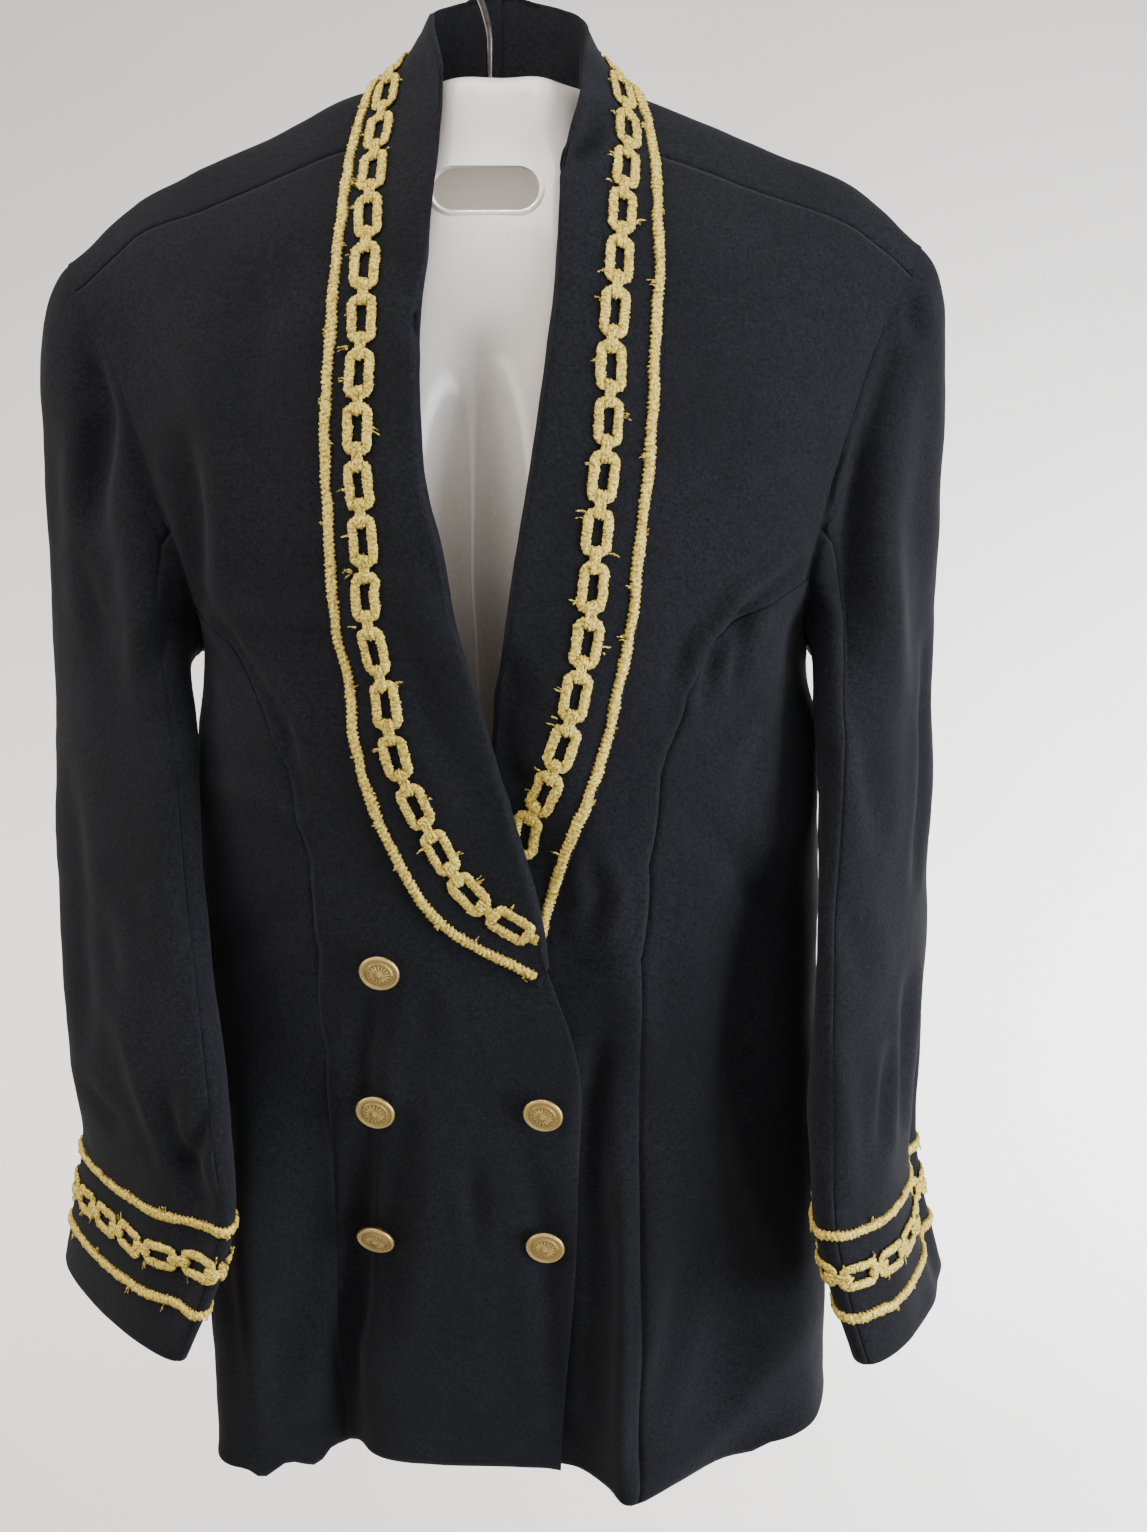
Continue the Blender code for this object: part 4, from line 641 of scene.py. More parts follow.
def islands(work, thickness):
    """The faces in groups that meet without a sharp turn or the wall's rim between them."""
    rims = {face for face in work.faces if is_rim(face, thickness)}
    seen, groups = set(rims), []
    for first in work.faces:
        if first in seen:
            continue
        seen.add(first)
        group, open_faces = [], [first]
        while open_faces:
            face = open_faces.pop()
            group.append(face)
            for edge in face.edges:
                for beside in edge.link_faces:
                    if beside not in seen and face.normal.dot(beside.normal) > 0.3:
                        seen.add(beside)
                        open_faces.append(beside)
        groups.append(group)
    return groups


def outer_wall(name, thickness, core, number):
    """A mesh of the outer wall of a CAD cloth node, in quads, with its number as material index."""
    work = bmesh.new()
    work.from_mesh(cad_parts[name].data)
    bmesh.ops.remove_doubles(work, verts=work.verts, dist=WELD * MM)
    bmesh.ops.join_triangles(work, faces=work.faces, angle_face_threshold=math.pi,
                             angle_shape_threshold=math.pi, topology_influence=1.0)
    work.normal_update()

    def outward(group):
        centres = np.array([face.calc_center_median() for face in group])
        normals = np.array([face.normal * face.calc_area() for face in group])
        return float(np.sum(normals * unit(centres - core(centres[:, 2]))))

    kept = set(max(islands(work, thickness), key=outward))
    bmesh.ops.delete(work, geom=[face for face in work.faces if face not in kept], context="FACES")
    for face in work.faces:
        face.material_index = number
    return mesh_of(work, name + "_wall")


def refined(mesh, levels):
    """A finer mesh that still goes through the given one's corners."""
    holder = new_object("refining", mesh)
    refine = holder.modifiers.new("refine", "SUBSURF")
    refine.levels = refine.render_levels = levels
    refine.boundary_smooth = "PRESERVE_CORNERS"
    target = corners_of(mesh)
    for _ in range(4):
        fine = holder.evaluated_get(bpy.context.evaluated_depsgraph_get()).to_mesh()
        miss = target - corners_of(fine)[:len(target)]
        move_corners(mesh, corners_of(mesh) + miss)
        bpy.context.view_layer.update()
    return baked(holder)


def joined_cloth(names, thickness, core):
    """One fine mesh of the pieces' outer walls, sewn together where they meet."""
    work = bmesh.new()
    for number, name in enumerate(names):
        wall = outer_wall(name, thickness, core, number)
        work.from_mesh(wall)
        bpy.data.meshes.remove(wall)
    bmesh.ops.remove_doubles(work, verts=work.verts, dist=SEWN * MM)
    whole = mesh_of(work, "whole")
    for _ in names:
        whole.materials.append(CREPE)
    return refined(whole, REFINE)


def crease_height(x, z, table):
    """Height of the table's creases at places seen from the front, in millimetres."""
    total = np.zeros_like(x)
    for depth, width, line in table:
        line = np.array(line, float)
        steps = np.linalg.norm(np.diff(line, axis=0), axis=1)
        starts = np.concatenate([[0], np.cumsum(steps)])
        nearest = np.full_like(x, 1e9)
        along = np.zeros_like(x)
        for start, end, step, before in zip(line, line[1:], steps, starts):
            way = (end - start) / step
            t = np.clip((x - start[0]) * way[0] + (z - start[1]) * way[1], 0, step)
            apart = np.hypot(x - start[0] - way[0] * t, z - start[1] - way[1] * t)
            closer = apart < nearest
            nearest = np.where(closer, apart, nearest)
            along = np.where(closer, before + t, along)
        # It fades out at both ends, and the cloth beside it goes the other way a little
        fade = np.sin(np.pi * np.clip(0.06 + 0.88 * along / starts[-1], 0, 1)) ** 0.6
        hollow = np.exp(-((nearest / width) ** 2))
        shoulder = np.exp(-(((nearest - 2 * width) / width) ** 2))
        total += CREASE_STRENGTH * depth * fade * (hollow - 0.3 * shoulder)
    return total


def edge_fade(points, edge_points, reach):
    """0 at the edge points and 1 beyond reach millimetres from them."""
    if len(edge_points) == 0:
        return np.ones(len(points))
    near = point_tree(edge_points)
    return soft_step(np.array([near.find(point)[2] for point in points]) / (reach * MM))


def hang_aside(mesh, side=""):
    """Moves the cloth to where it hangs: neckline, hem and shoulders, or one sleeve."""
    points = corners_of(mesh)
    x, y, z = points.T / MM
    if side:
        armhole = points[free_corners(mesh, at_armhole)]
        x = x + curve_through(SLEEVES_ASIDE[side], z) * edge_fade(points, armhole, ASIDE_FADE)
    else:
        edge_left, move_left, edge_right, move_right = curve_through(NECKLINE, z).T
        inside = (z > NECKLINE[0][0]) & (z < NECKLINE[-1][0]) & (y < 20)
        # In full within 12 mm of the edge, and not at all beyond 46 mm
        left = soft_step((46 - np.abs(x - edge_left)) / 34) * move_left
        right = soft_step((46 - np.abs(x - edge_right)) / 34) * move_right
        z = z + np.where(y < 25, soft_step((-725 - z) / 105), 0) * curve_through(HEM, x)
        x = x + np.where(inside, np.where(owners(mesh)[0] < len(mesh.materials) / 2, left, right), 0)
    z = z + curve_through(SHOULDERS, np.abs(x)) * soft_step((z + 250) / 80)
    move_corners(mesh, np.stack([x, y, z], -1) * MM)


def free_corners(mesh, where):
    """The corners on the mesh's free edges, in the region that where picks."""
    counts = np.bincount(read_all(mesh.loops, "edge_index", kind=int), minlength=len(mesh.edges))
    free = np.unique(read_all(mesh.edges, "vertices", 2, int)[counts == 1])
    return free[where(corners_of(mesh)[free])]


def draw_to(mesh, ground, reach):
    """Draws the armhole's edge of a sleeve onto the body's cloth, and the cloth beside it by less."""
    tree = search_tree(ground)
    points = corners_of(mesh)
    edge = free_corners(mesh, at_armhole)
    pulls = np.zeros((len(edge), 3))
    for number, corner in enumerate(edge):
        near = tree.find_nearest(Vector(points[corner]), 15 * MM)[0]
        if near is not None:
            pulls[number] = np.array(near) - points[corner]
    beside = point_tree(points[edge])
    for i, point in enumerate(points.copy()):
        _, number, apart = beside.find(point)
        if apart < reach * MM:
            points[i] += pulls[number] * (1 - soft_step(apart / (reach * MM)))
    move_corners(mesh, points)


def crease_cloth(mesh, front, back, humps, still=None):
    """Moves the cloth out and in along its normals. still picks the free edges that stay where they are."""
    points, normals = corners_of(mesh), normals_of(mesh)
    x, z = points[:, 0] / MM, points[:, 2] / MM
    ahead = np.clip(0.5 - 1.5 * normals[:, 1], 0, 1)
    height = crease_height(x, z, front) * ahead + crease_height(x, z, back) * (1 - ahead)
    for seed, (hump, spacing) in enumerate(zip(humps, HUMP_SPACINGS), 1):
        height += hump * wavering(points, spacing, seed)
    if still is not None:
        height *= edge_fade(points, points[free_corners(mesh, still)], CREASE_FADE)
    move_corners(mesh, points + normals * height[:, None] * MM)


def smoothed(mesh, rounds):
    """Evens out small lumps of the refined cloth, most at the underarm, and rounds the shoulder's tip."""
    work = bmesh.new()
    work.from_mesh(mesh)
    inner = [vert for vert in work.verts if not vert.is_boundary]
    low, high = UNDERARM
    underarm = [vert for vert in inner if low * MM < vert.co.z < high * MM]
    tip_x, tip_z = SHOULDER_TIP
    tip = [vert for vert in work.verts if abs(vert.co.x) > tip_x * MM and vert.co.z > tip_z * MM]
    for verts, times in ((inner, rounds), (underarm, 3 * rounds), (tip, TIP_ROUNDS)):
        for _ in range(times):
            bmesh.ops.smooth_vert(work, verts=verts, factor=0.5,
                                  use_axis_x=True, use_axis_y=True, use_axis_z=True)
    work.to_mesh(mesh)
    work.free()
    mesh.update()


def owners(mesh):
    """The first and the last piece that each corner of joined cloth belongs to."""
    owner = read_all(mesh.polygons, "material_index", kind=int)
    first = np.full(len(mesh.vertices), 99)
    last = np.full(len(mesh.vertices), -1)
    for face in mesh.polygons:
        corners = list(face.vertices)
        first[corners] = np.minimum(first[corners], owner[face.index])
        last[corners] = np.maximum(last[corners], owner[face.index])
    return first, last


def sink_seams(mesh):
    """Lets the cloth dip a little where two pieces are sewn together."""
    first, last = owners(mesh)
    dip = (first != last) * SEAM_SINK * MM
    move_corners(mesh, corners_of(mesh) - normals_of(mesh) * dip[:, None])


def keep_clear(mesh, ground, clearance, reach, rounds, side=1, free=None):
    """Moves corners until they clear the ground mesh, on its outside (side 1) or inside (-1).

    free picks the corners that are left where they are.
    """
    tree = search_tree(ground)
    points = corners_of(mesh)
    for _ in range(rounds):
        left_alone = free(points) if free else np.zeros(len(points), bool)
        for i in np.flatnonzero(~left_alone):
            near, normal, _, _ = tree.find_nearest(Vector(points[i]), reach * MM)
            if near is not None:
                height = side * (Vector(points[i]) - near).dot(normal)
                if height < clearance * MM:
                    points[i] += side * np.array(normal) * (clearance * MM - height)
    move_corners(mesh, points)


def part_cloth(mesh, names, thickness):
    """Parts the joined cloth along its seams into one shell for each node."""
    for number, name in enumerate(names):
        work = bmesh.new()
        work.from_mesh(mesh)
        bmesh.ops.delete(work, geom=[f for f in work.faces if f.material_index != number], context="FACES")
        for face in work.faces:
            face.material_index = 0
        piece = new_object(name + "_cloth", mesh_of(work, name + "_cloth"))
        add_wall(piece, thickness)
        finish_piece(piece, CREPE, name)


def at_armhole(points):
    x, z = ARMHOLE
    return (np.abs(points[:, 0]) > x * MM) & (points[:, 2] > z * MM)


def turned_over(table):
    return tuple((depth, width, tuple((-x, z) for x, z in line)) for depth, width, line in table)


def dress_body():
    body = joined_cloth(BODY, CLOTH, body_core)
    smoothed(body, BODY_ROUNDS)
    hang_aside(body)
    crease_cloth(body, CREASES_FRONT, CREASES_BACK, CLOTH_HUMPS, at_armhole)
    sink_seams(body)
    part_cloth(body, BODY, CLOTH)
    return body


def dress_sleeves(body):
    made = {}
    for side, front in (("left", CREASES_SLEEVE_LEFT), ("right", CREASES_SLEEVE_RIGHT)):
        back = CREASES_SLEEVE_BACK if side == "right" else turned_over(CREASES_SLEEVE_BACK)
        names = [f"sleeve_top_{side}", f"sleeve_under_{side}"]
        sleeve = joined_cloth(names, CLOTH, sleeve_core(side))
        smoothed(sleeve, SLEEVE_ROUNDS)
        hang_aside(sleeve, side)
        crease_cloth(sleeve, front, back, CLOTH_HUMPS, at_armhole)
        sink_seams(sleeve)
        keep_clear(sleeve, body, SLEEVE_CLEARANCE, 5, 2)
        draw_to(sleeve, body, DRAWN_FADE)
        part_cloth(sleeve, names, CLOTH)
        made[side] = sleeve
    return made


def dress_collar(body):
    names = ["collar_left", "collar_right"]
    collar = joined_cloth(names, COLLAR, body_core)
    hang_aside(collar)
    crease_cloth(collar, CREASES_COLLAR, (), COLLAR_HUMPS)
    sink_seams(collar)
    part_cloth(collar, names, COLLAR)
    return collar


# Trims
def stitch_work():
    """An empty bmesh whose corners can say how high each stands in its stitch or stamping: the yarn's painted
    shade goes by it.
    """
    work = bmesh.new()
    work.verts.layers.float.new("stitch")
    return work


def knit(work, track, along, around, shape):
    """Adds a grid rolled up to a cord. shape(p, angle) gives its places on the track, and its crests."""
    corners = grid_corners(work, along, around)
    spots = np.array([(p, q) for _, p, q in corners])
    t, c, h, crests = shape(spots[:, 0], spots[:, 1] * math.tau)
    crest_layer = work.verts.layers.float["stitch"]
    for (vert, _, _), place, crest in zip(corners, track.place(t, c, h), crests):
        vert.co = place
        vert[crest_layer] = crest


def stations_of(name):
    """Centres of a braid node's cross-sections, in order along it."""
    points = node_points(name)
    left = list(range(len(points)))
    centres = []
    while left:
        near = [i for i in left if np.linalg.norm(points[i] - points[left[0]]) < 6.6 * MM]
        centres.append(points[near].mean(axis=0))
        left = [i for i in left if i not in near]
    order = [int(np.argmin([centre[2] for centre in centres]))]
    rest = [i for i in range(len(centres)) if i != order[0]]
    while rest:
        rest.sort(key=lambda i: np.linalg.norm(centres[i] - centres[order[-1]]))
        order.append(rest.pop(0))
    return np.array([centres[i] for i in order])


def smooth_line(points, spacing, closed):
    """Even points on a smooth curve through the given ones."""
    points = np.asarray(points, float)
    if closed:
        rows = np.vstack([points[-2:], points, points[:3]])
    else:
        rows = np.vstack([2 * points[0] - points[1], points, 2 * points[-1] - points[-2]])
    fine = []
    first, last = (2, len(points) + 2) if closed else (1, len(rows) - 2)
    for i in range(first, last):
        a, b, c, d = rows[i - 1], rows[i], rows[i + 1], rows[i + 2]
        for t in np.arange(0, 1, 0.1):
            fine.append(0.5 * (2 * b + (c - a) * t + (2 * a - 5 * b + 4 * c - d) * t**2
                               + (3 * b - a - 3 * c + d) * t**3))
    fine.append(rows[last])
    fine = np.array(fine)
    lengths = np.concatenate([[0], np.cumsum(np.linalg.norm(np.diff(fine, axis=0), axis=1))])
    at = np.linspace(0, lengths[-1], max(8, round(lengths[-1] / (spacing * MM))) + 1)
    return np.stack([np.interp(at, lengths, fine[:, axis]) for axis in range(3)], -1)


def evened(rows, reach, closed):
    """Each row as the mean of those within reach rows of it."""
    if closed:
        padded = np.vstack([rows[-reach - 1:-1], rows, rows[1:reach + 1]])
    else:
        padded = np.vstack([rows[:1]] * reach + [rows] + [rows[-1:]] * reach)
    return np.stack([np.convolve(padded[:, axis], np.ones(2 * reach + 1) / (2 * reach + 1), "valid")
                     for axis in range(3)], -1)


class Track:
    """A line on the cloth. Places on it are along, across and above, in millimetres."""

    def __init__(self, points, ground, closed):
        self.ground, self.closed = ground, closed
        found = [ground.find_nearest(Vector(point)) for point in points]
        self.points = np.array([near for near, *_ in found])
        self.normals = unit(evened(np.array([normal for _, normal, *_ in found]), 5, closed))
        self.points = evened(self.points, 2, closed)
        steps = np.linalg.norm(np.diff(self.points, axis=0), axis=1)
        self.lengths = np.concatenate([[0], np.cumsum(steps)]) / MM
        self.length = self.lengths[-1]
        along = unit(np.gradient(self.points, axis=0))
        self.across = unit(np.cross(self.normals, along))

    def read(self, values, t):
        t = t % self.length if self.closed else np.clip(t, 0, self.length)
        return np.stack([np.interp(t, self.lengths, values[:, axis]) for axis in range(3)], -1)

    def place(self, t, c, h):
        bases = self.read(self.points, t) + self.read(self.across, t) * (c * MM)[:, None]
        seated = np.array([self.ground.find_nearest(Vector(base))[0] for base in bases])
        return seated + unit(self.read(self.normals, t)) * (h * MM)[:, None]

    def beside(self, name):
        """This line moved sideways onto another trim's node, and where that node starts and ends on it."""
        points = node_points(name)
        index = np.array([int(np.argmin(np.linalg.norm(self.points - point, axis=1))) for point in points])
        offsets = np.sum((points - self.points[index]) * self.across[index], axis=1)
        # The node's corners lie evenly on both sides of its middle line
        near = np.exp(-(((self.lengths[:, None] - self.lengths[index][None, :]) / 14) ** 2))
        offset = (near @ offsets) / np.maximum(near.sum(axis=1), 1e-9)
        offset[near.sum(axis=1) < 1e-6] = offsets.mean()
        offset = np.stack([offset] * 3, -1)
        for _ in range(3):
            offset = evened(offset, 12, self.closed)
        moved = Track(self.points + self.across * offset, self.ground, self.closed)
        index = [int(np.argmin(np.linalg.norm(moved.points - point, axis=1))) for point in points]
        return moved, moved.lengths[min(index)], moved.lengths[max(index)]


def knit_braid(work, track, start, stop, seed):
    """A flat knitted cord whose stitches slant across it and whose edges waver."""
    rng = np.random.default_rng(seed)
    length = stop - start
    knots = np.arange(0, length + 14, 9.0)
    sway = rng.normal(0, BRAID_SWAY, len(knots))
    swell = rng.normal(1, BRAID_SWELL, len(knots))

    def shape(p, angle):
        t = p * length
        ends = 1.0 if track.closed else np.sqrt(np.clip(np.minimum(t, length - t) / 2.2, 0, 1))
        wide = BRAID_WIDTH / 2 * np.interp(t, knots, swell) * ends
        side = np.cos(angle)
        ripple = np.abs(np.cos(np.pi * (t / BRAID_STITCH + BRAID_SLANT * side)))
        edge = 1 + 0.2 * np.sin(math.tau * t / BRAID_STITCH + 2.4 * np.sign(side)) * np.abs(side)
        c = wide * side * edge + np.interp(t, knots, sway)
        up = np.clip(np.sin(angle), -0.12, 1)
        h = 0.2 + BRAID_HEIGHT * ends * np.where(up > 0, up ** 0.75 * (0.6 + 0.44 * ripple), up)
        return start + t, c, h, 0.15 + 0.85 * ripple * np.clip(up + 0.2, 0, 1)

    knit(work, track, max(20, round(length / 0.75)), 10, shape)


def link_line():
    """Even points and outward directions round a link's middle line."""
    angle = np.linspace(0, math.tau, 721)
    t = (LINK_HALF_LENGTH - LINK_CORNER) * np.sign(np.cos(angle)) + LINK_CORNER * np.cos(angle)
    c = (LINK_HALF_WIDTH - LINK_CORNER) * np.sign(np.sin(angle)) + LINK_CORNER * np.sin(angle)
    # It starts and ends in the middle of an end
    t[0] = t[-1] = LINK_HALF_LENGTH
    c[0] = c[-1] = 0
    lengths = np.concatenate([[0], np.cumsum(np.hypot(np.diff(t), np.diff(c)))])
    at = np.linspace(0, lengths[-1], 241)
    t, c = np.interp(at, lengths, t), np.interp(at, lengths, c)
    ways = unit(np.stack([np.gradient(c), -np.gradient(t)], -1))
    ways[0] = ways[-1] = (1.0, 0.0)
    for _ in range(6):
        ways[1:-1] = unit(ways[:-2] + ways[1:-1] + ways[2:])
    return at, t, c, ways


LINK_LINE = link_line()


def knit_link(work, track, centre, rng):
    """One open link of knitted cord, with stitches in two rows of slanting loops."""
    at, line_t, line_c, ways = LINK_LINE
    length = at[-1]
    stitches = round(length / YARN_STITCH)
    size = rng.normal(1, LINK_SIZES, 2)
    lean = rng.normal(0, LINK_LEAN)
    bumps = rng.normal(0, LINK_BUMPS, 13)
    bumps[-1] = bumps[0]

    def shape(p, angle):
        s = p * length
        base_t, base_c = np.interp(s, at, line_t), np.interp(s, at, line_c)
        out_t, out_c = np.interp(s, at, ways[:, 0]), np.interp(s, at, ways[:, 1])
        sway = np.interp(p, np.linspace(0, 1, 13), bumps)
        side = np.cos(angle)
        loops = np.abs(np.cos(np.pi * (p * stitches + 0.45 * np.abs(side))))
        edge = 1 + 0.14 * loops * np.abs(side)
        reach = YARN_HALF_WIDTH * side * edge + sway
        t = (base_t + out_t * reach) * size[0]
        c = (base_c + out_c * reach) * size[1]
        up = np.sin(angle)
        groove = 0.16 * np.exp(-((side / 0.22) ** 2))
        h = 1.15 + YARN_HALF_HEIGHT * np.where(up > 0, up * (0.78 + 0.32 * loops - groove), up * 0.9)
        crest = np.clip(0.2 + 0.8 * loops - 1.6 * groove, 0, 1) * np.clip(up + 0.35, 0, 1)
        return centre + t + lean * c, c - lean * t, h, crest

    knit(work, track, 92, 10, shape)


def knit_band(work, track, centre, rng, half=BAND_LENGTH / 2):
    """The narrow band that ties two links: three strands side by side over their ends."""
    for lane in (-1, 0, 1):
        wide = STRAND_HALF_WIDTH * rng.normal(1, 0.06)
        shift = rng.normal(0, 0.2)
        reach = half * rng.normal(1, 0.03) * (1.0 if lane == 0 else 0.95)

        def shape(p, angle):
            t = (2 * p - 1) * reach
            ends = np.sqrt(np.clip(1 - (2 * p - 1) ** 8, 0, 1))
            loops = np.abs(np.cos(np.pi * (t / STRAND_STITCH + 0.3 * np.cos(angle) + 0.5 * lane)))
            c = lane * STRAND_SPACING + wide * np.cos(angle) * ends * (1 + 0.1 * loops)
            # Low between the links, and high over their ends
            over = np.interp(np.abs(t), (0, 1.6, 3.0, 5.6, reach), (1.3, 1.4, 2.2, 2.1, 1.1))
            h = over + 0.95 * np.sin(angle) * ends * (0.85 + 0.25 * loops)
            crest = np.clip(0.25 + 0.75 * loops, 0, 1) * np.clip(np.sin(angle) + 0.4, 0, 1)
            return centre + shift + t, c, h, crest

        knit(work, track, 20, 8, shape)


def add_thread(work, track, t, c, away, rng):
    """A short end of yarn that sticks out sideways and curls up."""
    length = rng.uniform(2.2, 5.5)
    slant = rng.normal(0, 0.7)
    rise = rng.uniform(0.4, 1.8)

    def shape(p, angle):
        thick = THREAD_RADIUS * (1 - 0.65 * p) * np.sqrt(np.clip(1 - (2 * np.clip(p, 0.5, 1) - 1) ** 4, 0, 1))
        sway = 0.5 * np.sin(3.5 * p + slant)
        along = t + slant * length * 0.5 * p + sway + thick * np.cos(angle)
        above = 1.1 + rise * p * (1.6 - 0.9 * p) + thick * np.sin(angle)
        return along, c + away * length * p, above, np.full_like(p, 0.8)

    knit(work, track, 6, 5, shape)


def add_tufts(work, track, start, stop, spacing, edge, seed):
    """Yarn ends along both edges of a trim, uneven, mostly in pairs."""
    rng = np.random.default_rng(seed)
    t = start + rng.uniform(3, spacing)
    while t < stop - 3:
        away = 1 if rng.random() < 0.6 else -1
        for _ in range(rng.integers(1, 4)):
            add_thread(work, track, t + rng.normal(0, 0.8), away * (edge - 0.8), away, rng)
        t += spacing * rng.uniform(0.5, 1.5)


def finish_trim(work, name):
    bmesh.ops.remove_doubles(work, verts=work.verts, dist=0.012 * MM)
    rng = np.random.default_rng(len(work.verts))
    for vert, crinkle in zip(work.verts, rng.normal(0, CRINKLE, (len(work.verts), 3))):
        vert.co += Vector(crinkle) * MM
    bmesh.ops.recalc_face_normals(work, faces=work.faces)
    finish_piece(new_object(name + "_yarn", mesh_of(work, name + "_yarn")), YARN, name)


def make_braid(name, track, seed):
    work = stitch_work()
    start = 0 if track.closed else track.home - RUN_ON.get(name, 0)
    knit_braid(work, track, start, track.length, seed)
    add_tufts(work, track, start, track.length, TUFT_SPACING["braid"], BRAID_WIDTH / 2, seed + 1)
    finish_trim(work, name)


def make_chain(name, track, start, stop, seed):
    work = stitch_work()
    rng = np.random.default_rng(seed)
    if track.closed:
        count = 2 * round(track.length / CHAIN_PITCH / 2)
        start, stop = 0, track.length
        centres = track.length * np.arange(count) / count
        ties = centres + track.length / count / 2
    else:
        start, stop = start - LINK_END_GAP / 2 - RUN_ON.get(name, 0), stop + LINK_END_GAP / 2
        count = round((stop - start) / CHAIN_PITCH)
        marks = np.linspace(start, stop, count + 1)
        centres = (marks[1:] + marks[:-1]) / 2
        ties = marks[1:-1]
    for centre in centres:
        knit_link(work, track, centre, rng)
    for tie in ties:
        knit_band(work, track, tie, rng)
    if not track.closed:
        knit_band(work, track, start + 1.0, rng, 3.4)
        knit_band(work, track, stop - 1.0, rng, 3.4)
    add_tufts(work, track, start, stop, TUFT_SPACING["chain"],
              LINK_HALF_WIDTH + YARN_HALF_WIDTH, seed + 1)
    finish_trim(work, name)


def braid_track(name, ground, closed):
    """The line of a braid's node. An open one starts early, so that trims can run on into the overlap."""
    stations = stations_of(name)
    first = stations[0]
    if not closed:
        ahead = unit(stations[0] - stations[1])
        stations = np.vstack([first + ahead * 40 * MM, first + ahead * 20 * MM, stations])
    track = Track(smooth_line(stations, 1.0, closed), ground, closed)
    track.home = track.lengths[int(np.argmin(np.linalg.norm(track.points - first, axis=1)))]
    return track


def trim_collar(collar):
    ground = search_tree(collar)
    for number, side in enumerate(SIDES):
        track = braid_track(f"collar_braid_{side}", ground, False)
        make_braid(f"collar_braid_{side}", track, 10 + number)
        chain, start, stop = track.beside(f"collar_chain_{side}")
        make_chain(f"collar_chain_{side}", chain, start, stop, 20 + number)


def trim_cuffs(sleeves):
    for number, side in enumerate(SIDES):
        ground = search_tree(sleeves[side])
        upper = braid_track(f"cuff_upper_braid_{side}", ground, True)
        lower = braid_track(f"cuff_lower_braid_{side}", ground, True)
        make_braid(f"cuff_upper_braid_{side}", upper, 30 + number)
        make_braid(f"cuff_lower_braid_{side}", lower, 40 + number)
        chain, start, stop = upper.beside(f"cuff_chain_{side}")
        make_chain(f"cuff_chain_{side}", chain, start, stop, 50 + number)


# Buttons
def button_mesh(name):
    """A domed button: plain rays round a boss, a roped ring and a rolled rim."""
    work = stitch_work()
    crest_layer = work.verts.layers.float["stitch"]
    profile = [work.verts.new((radius * MM, 0, height * MM)) for radius, height in BUTTON_PROFILE]
    edges = [work.edges.new(pair) for pair in zip(profile, profile[1:])]
    bmesh.ops.spin(work, geom=profile + edges, axis=(0, 0, 1), cent=(0, 0, 0), angle=math.tau,
                   steps=BUTTON_STEPS, use_merge=True)
    bmesh.ops.remove_doubles(work, verts=work.verts, dist=WELD * MM)
    bmesh.ops.recalc_face_normals(work, faces=work.faces)
    for vert in work.verts:
        radius, angle = math.hypot(vert.co.x, vert.co.y) / MM, math.atan2(vert.co.y, vert.co.x)
        if vert.co.z < BUTTON_FACE * MM:
            vert[crest_layer] = 0.35
            continue
        stamped = []
        for count, slant, middle, width, height in BUTTON_RINGS:
            ring = math.exp(-(((radius - middle) / width) ** 2))
            stamped.append(math.cos(count * angle + slant * radius) * ring)
            vert.co.z += height * stamped[-1] * MM
        rim, boss = math.exp(-(((radius - 9.7) / 0.6) ** 2)), math.exp(-((radius / 1.6) ** 2))
        high = max(*stamped, rim, boss)
        vert[crest_layer] = 0.25 + 0.75 * max(0.0, high)
    return mesh_of(work, name)


def sew_buttons(body):
    """Puts each button where its node is, turned as it is, with its shank on the cloth."""
    ground = search_tree(body)
    for number in range(1, 6):
        name = f"button_{number}"
        points = node_points(name)
        middle = points.mean(axis=0)
        axis = np.linalg.eigh(np.cov((points - middle).T))[1][:, 0]
        axis = Vector(axis if axis[1] < 0 else -axis)
        heights = (points - middle) @ np.array(axis)
        foot = Vector(points[heights < heights.min() + 0.1 * MM].mean(axis=0))
        mesh = button_mesh(name + "_brass")
        turn = axis.to_track_quat("Z", "Y").to_matrix().to_4x4()
        hit = ground.ray_cast(foot + axis * 6 * MM, -axis, 20 * MM)
        turn.translation = foot if hit[0] is None else hit[0] + axis * BUTTON_SEAT * MM
        mesh.transform(turn)
        finish_piece(new_object(name + "_brass", mesh), BRASS, name)


# Torso form and hook
def plain_body(u, v):
    """The body's surface without folds: u goes across it, and v up the front and down the back."""
    front = [(r[0], r[2], r[3], r[5], *r[7:]) for r in LEVELS]
    back = [(r[1], r[2], r[4], r[6], *r[7:]) for r in LEVELS]
    rows = np.array(front + back[-2::-1], float)
    rows = np.column_stack([range(len(rows)), rows])
    z_mid, z_side, y_mid, y_side, x_mid, half, square, sweep = np.moveaxis(curve_through(rows, v), -1, 0)
    across = np.sin(u * math.pi / 2)
    sweep = np.clip(sweep, 0, 1)
    bend = np.clip(1 - np.abs(sweep * across) ** square, 0, 1) ** (1 / square)
    end = np.clip(1 - sweep**square, 0, 1) ** (1 / square)
    drop = curve_through(DROP_LEFT, -across) + curve_through(DROP_RIGHT, across)
    return np.stack([
        x_mid + half * across,
        y_side + (y_mid - y_side) * (bend - end) / (1 - end),
        z_mid + (z_side - z_mid) * drop,
    ], axis=-1) * MM


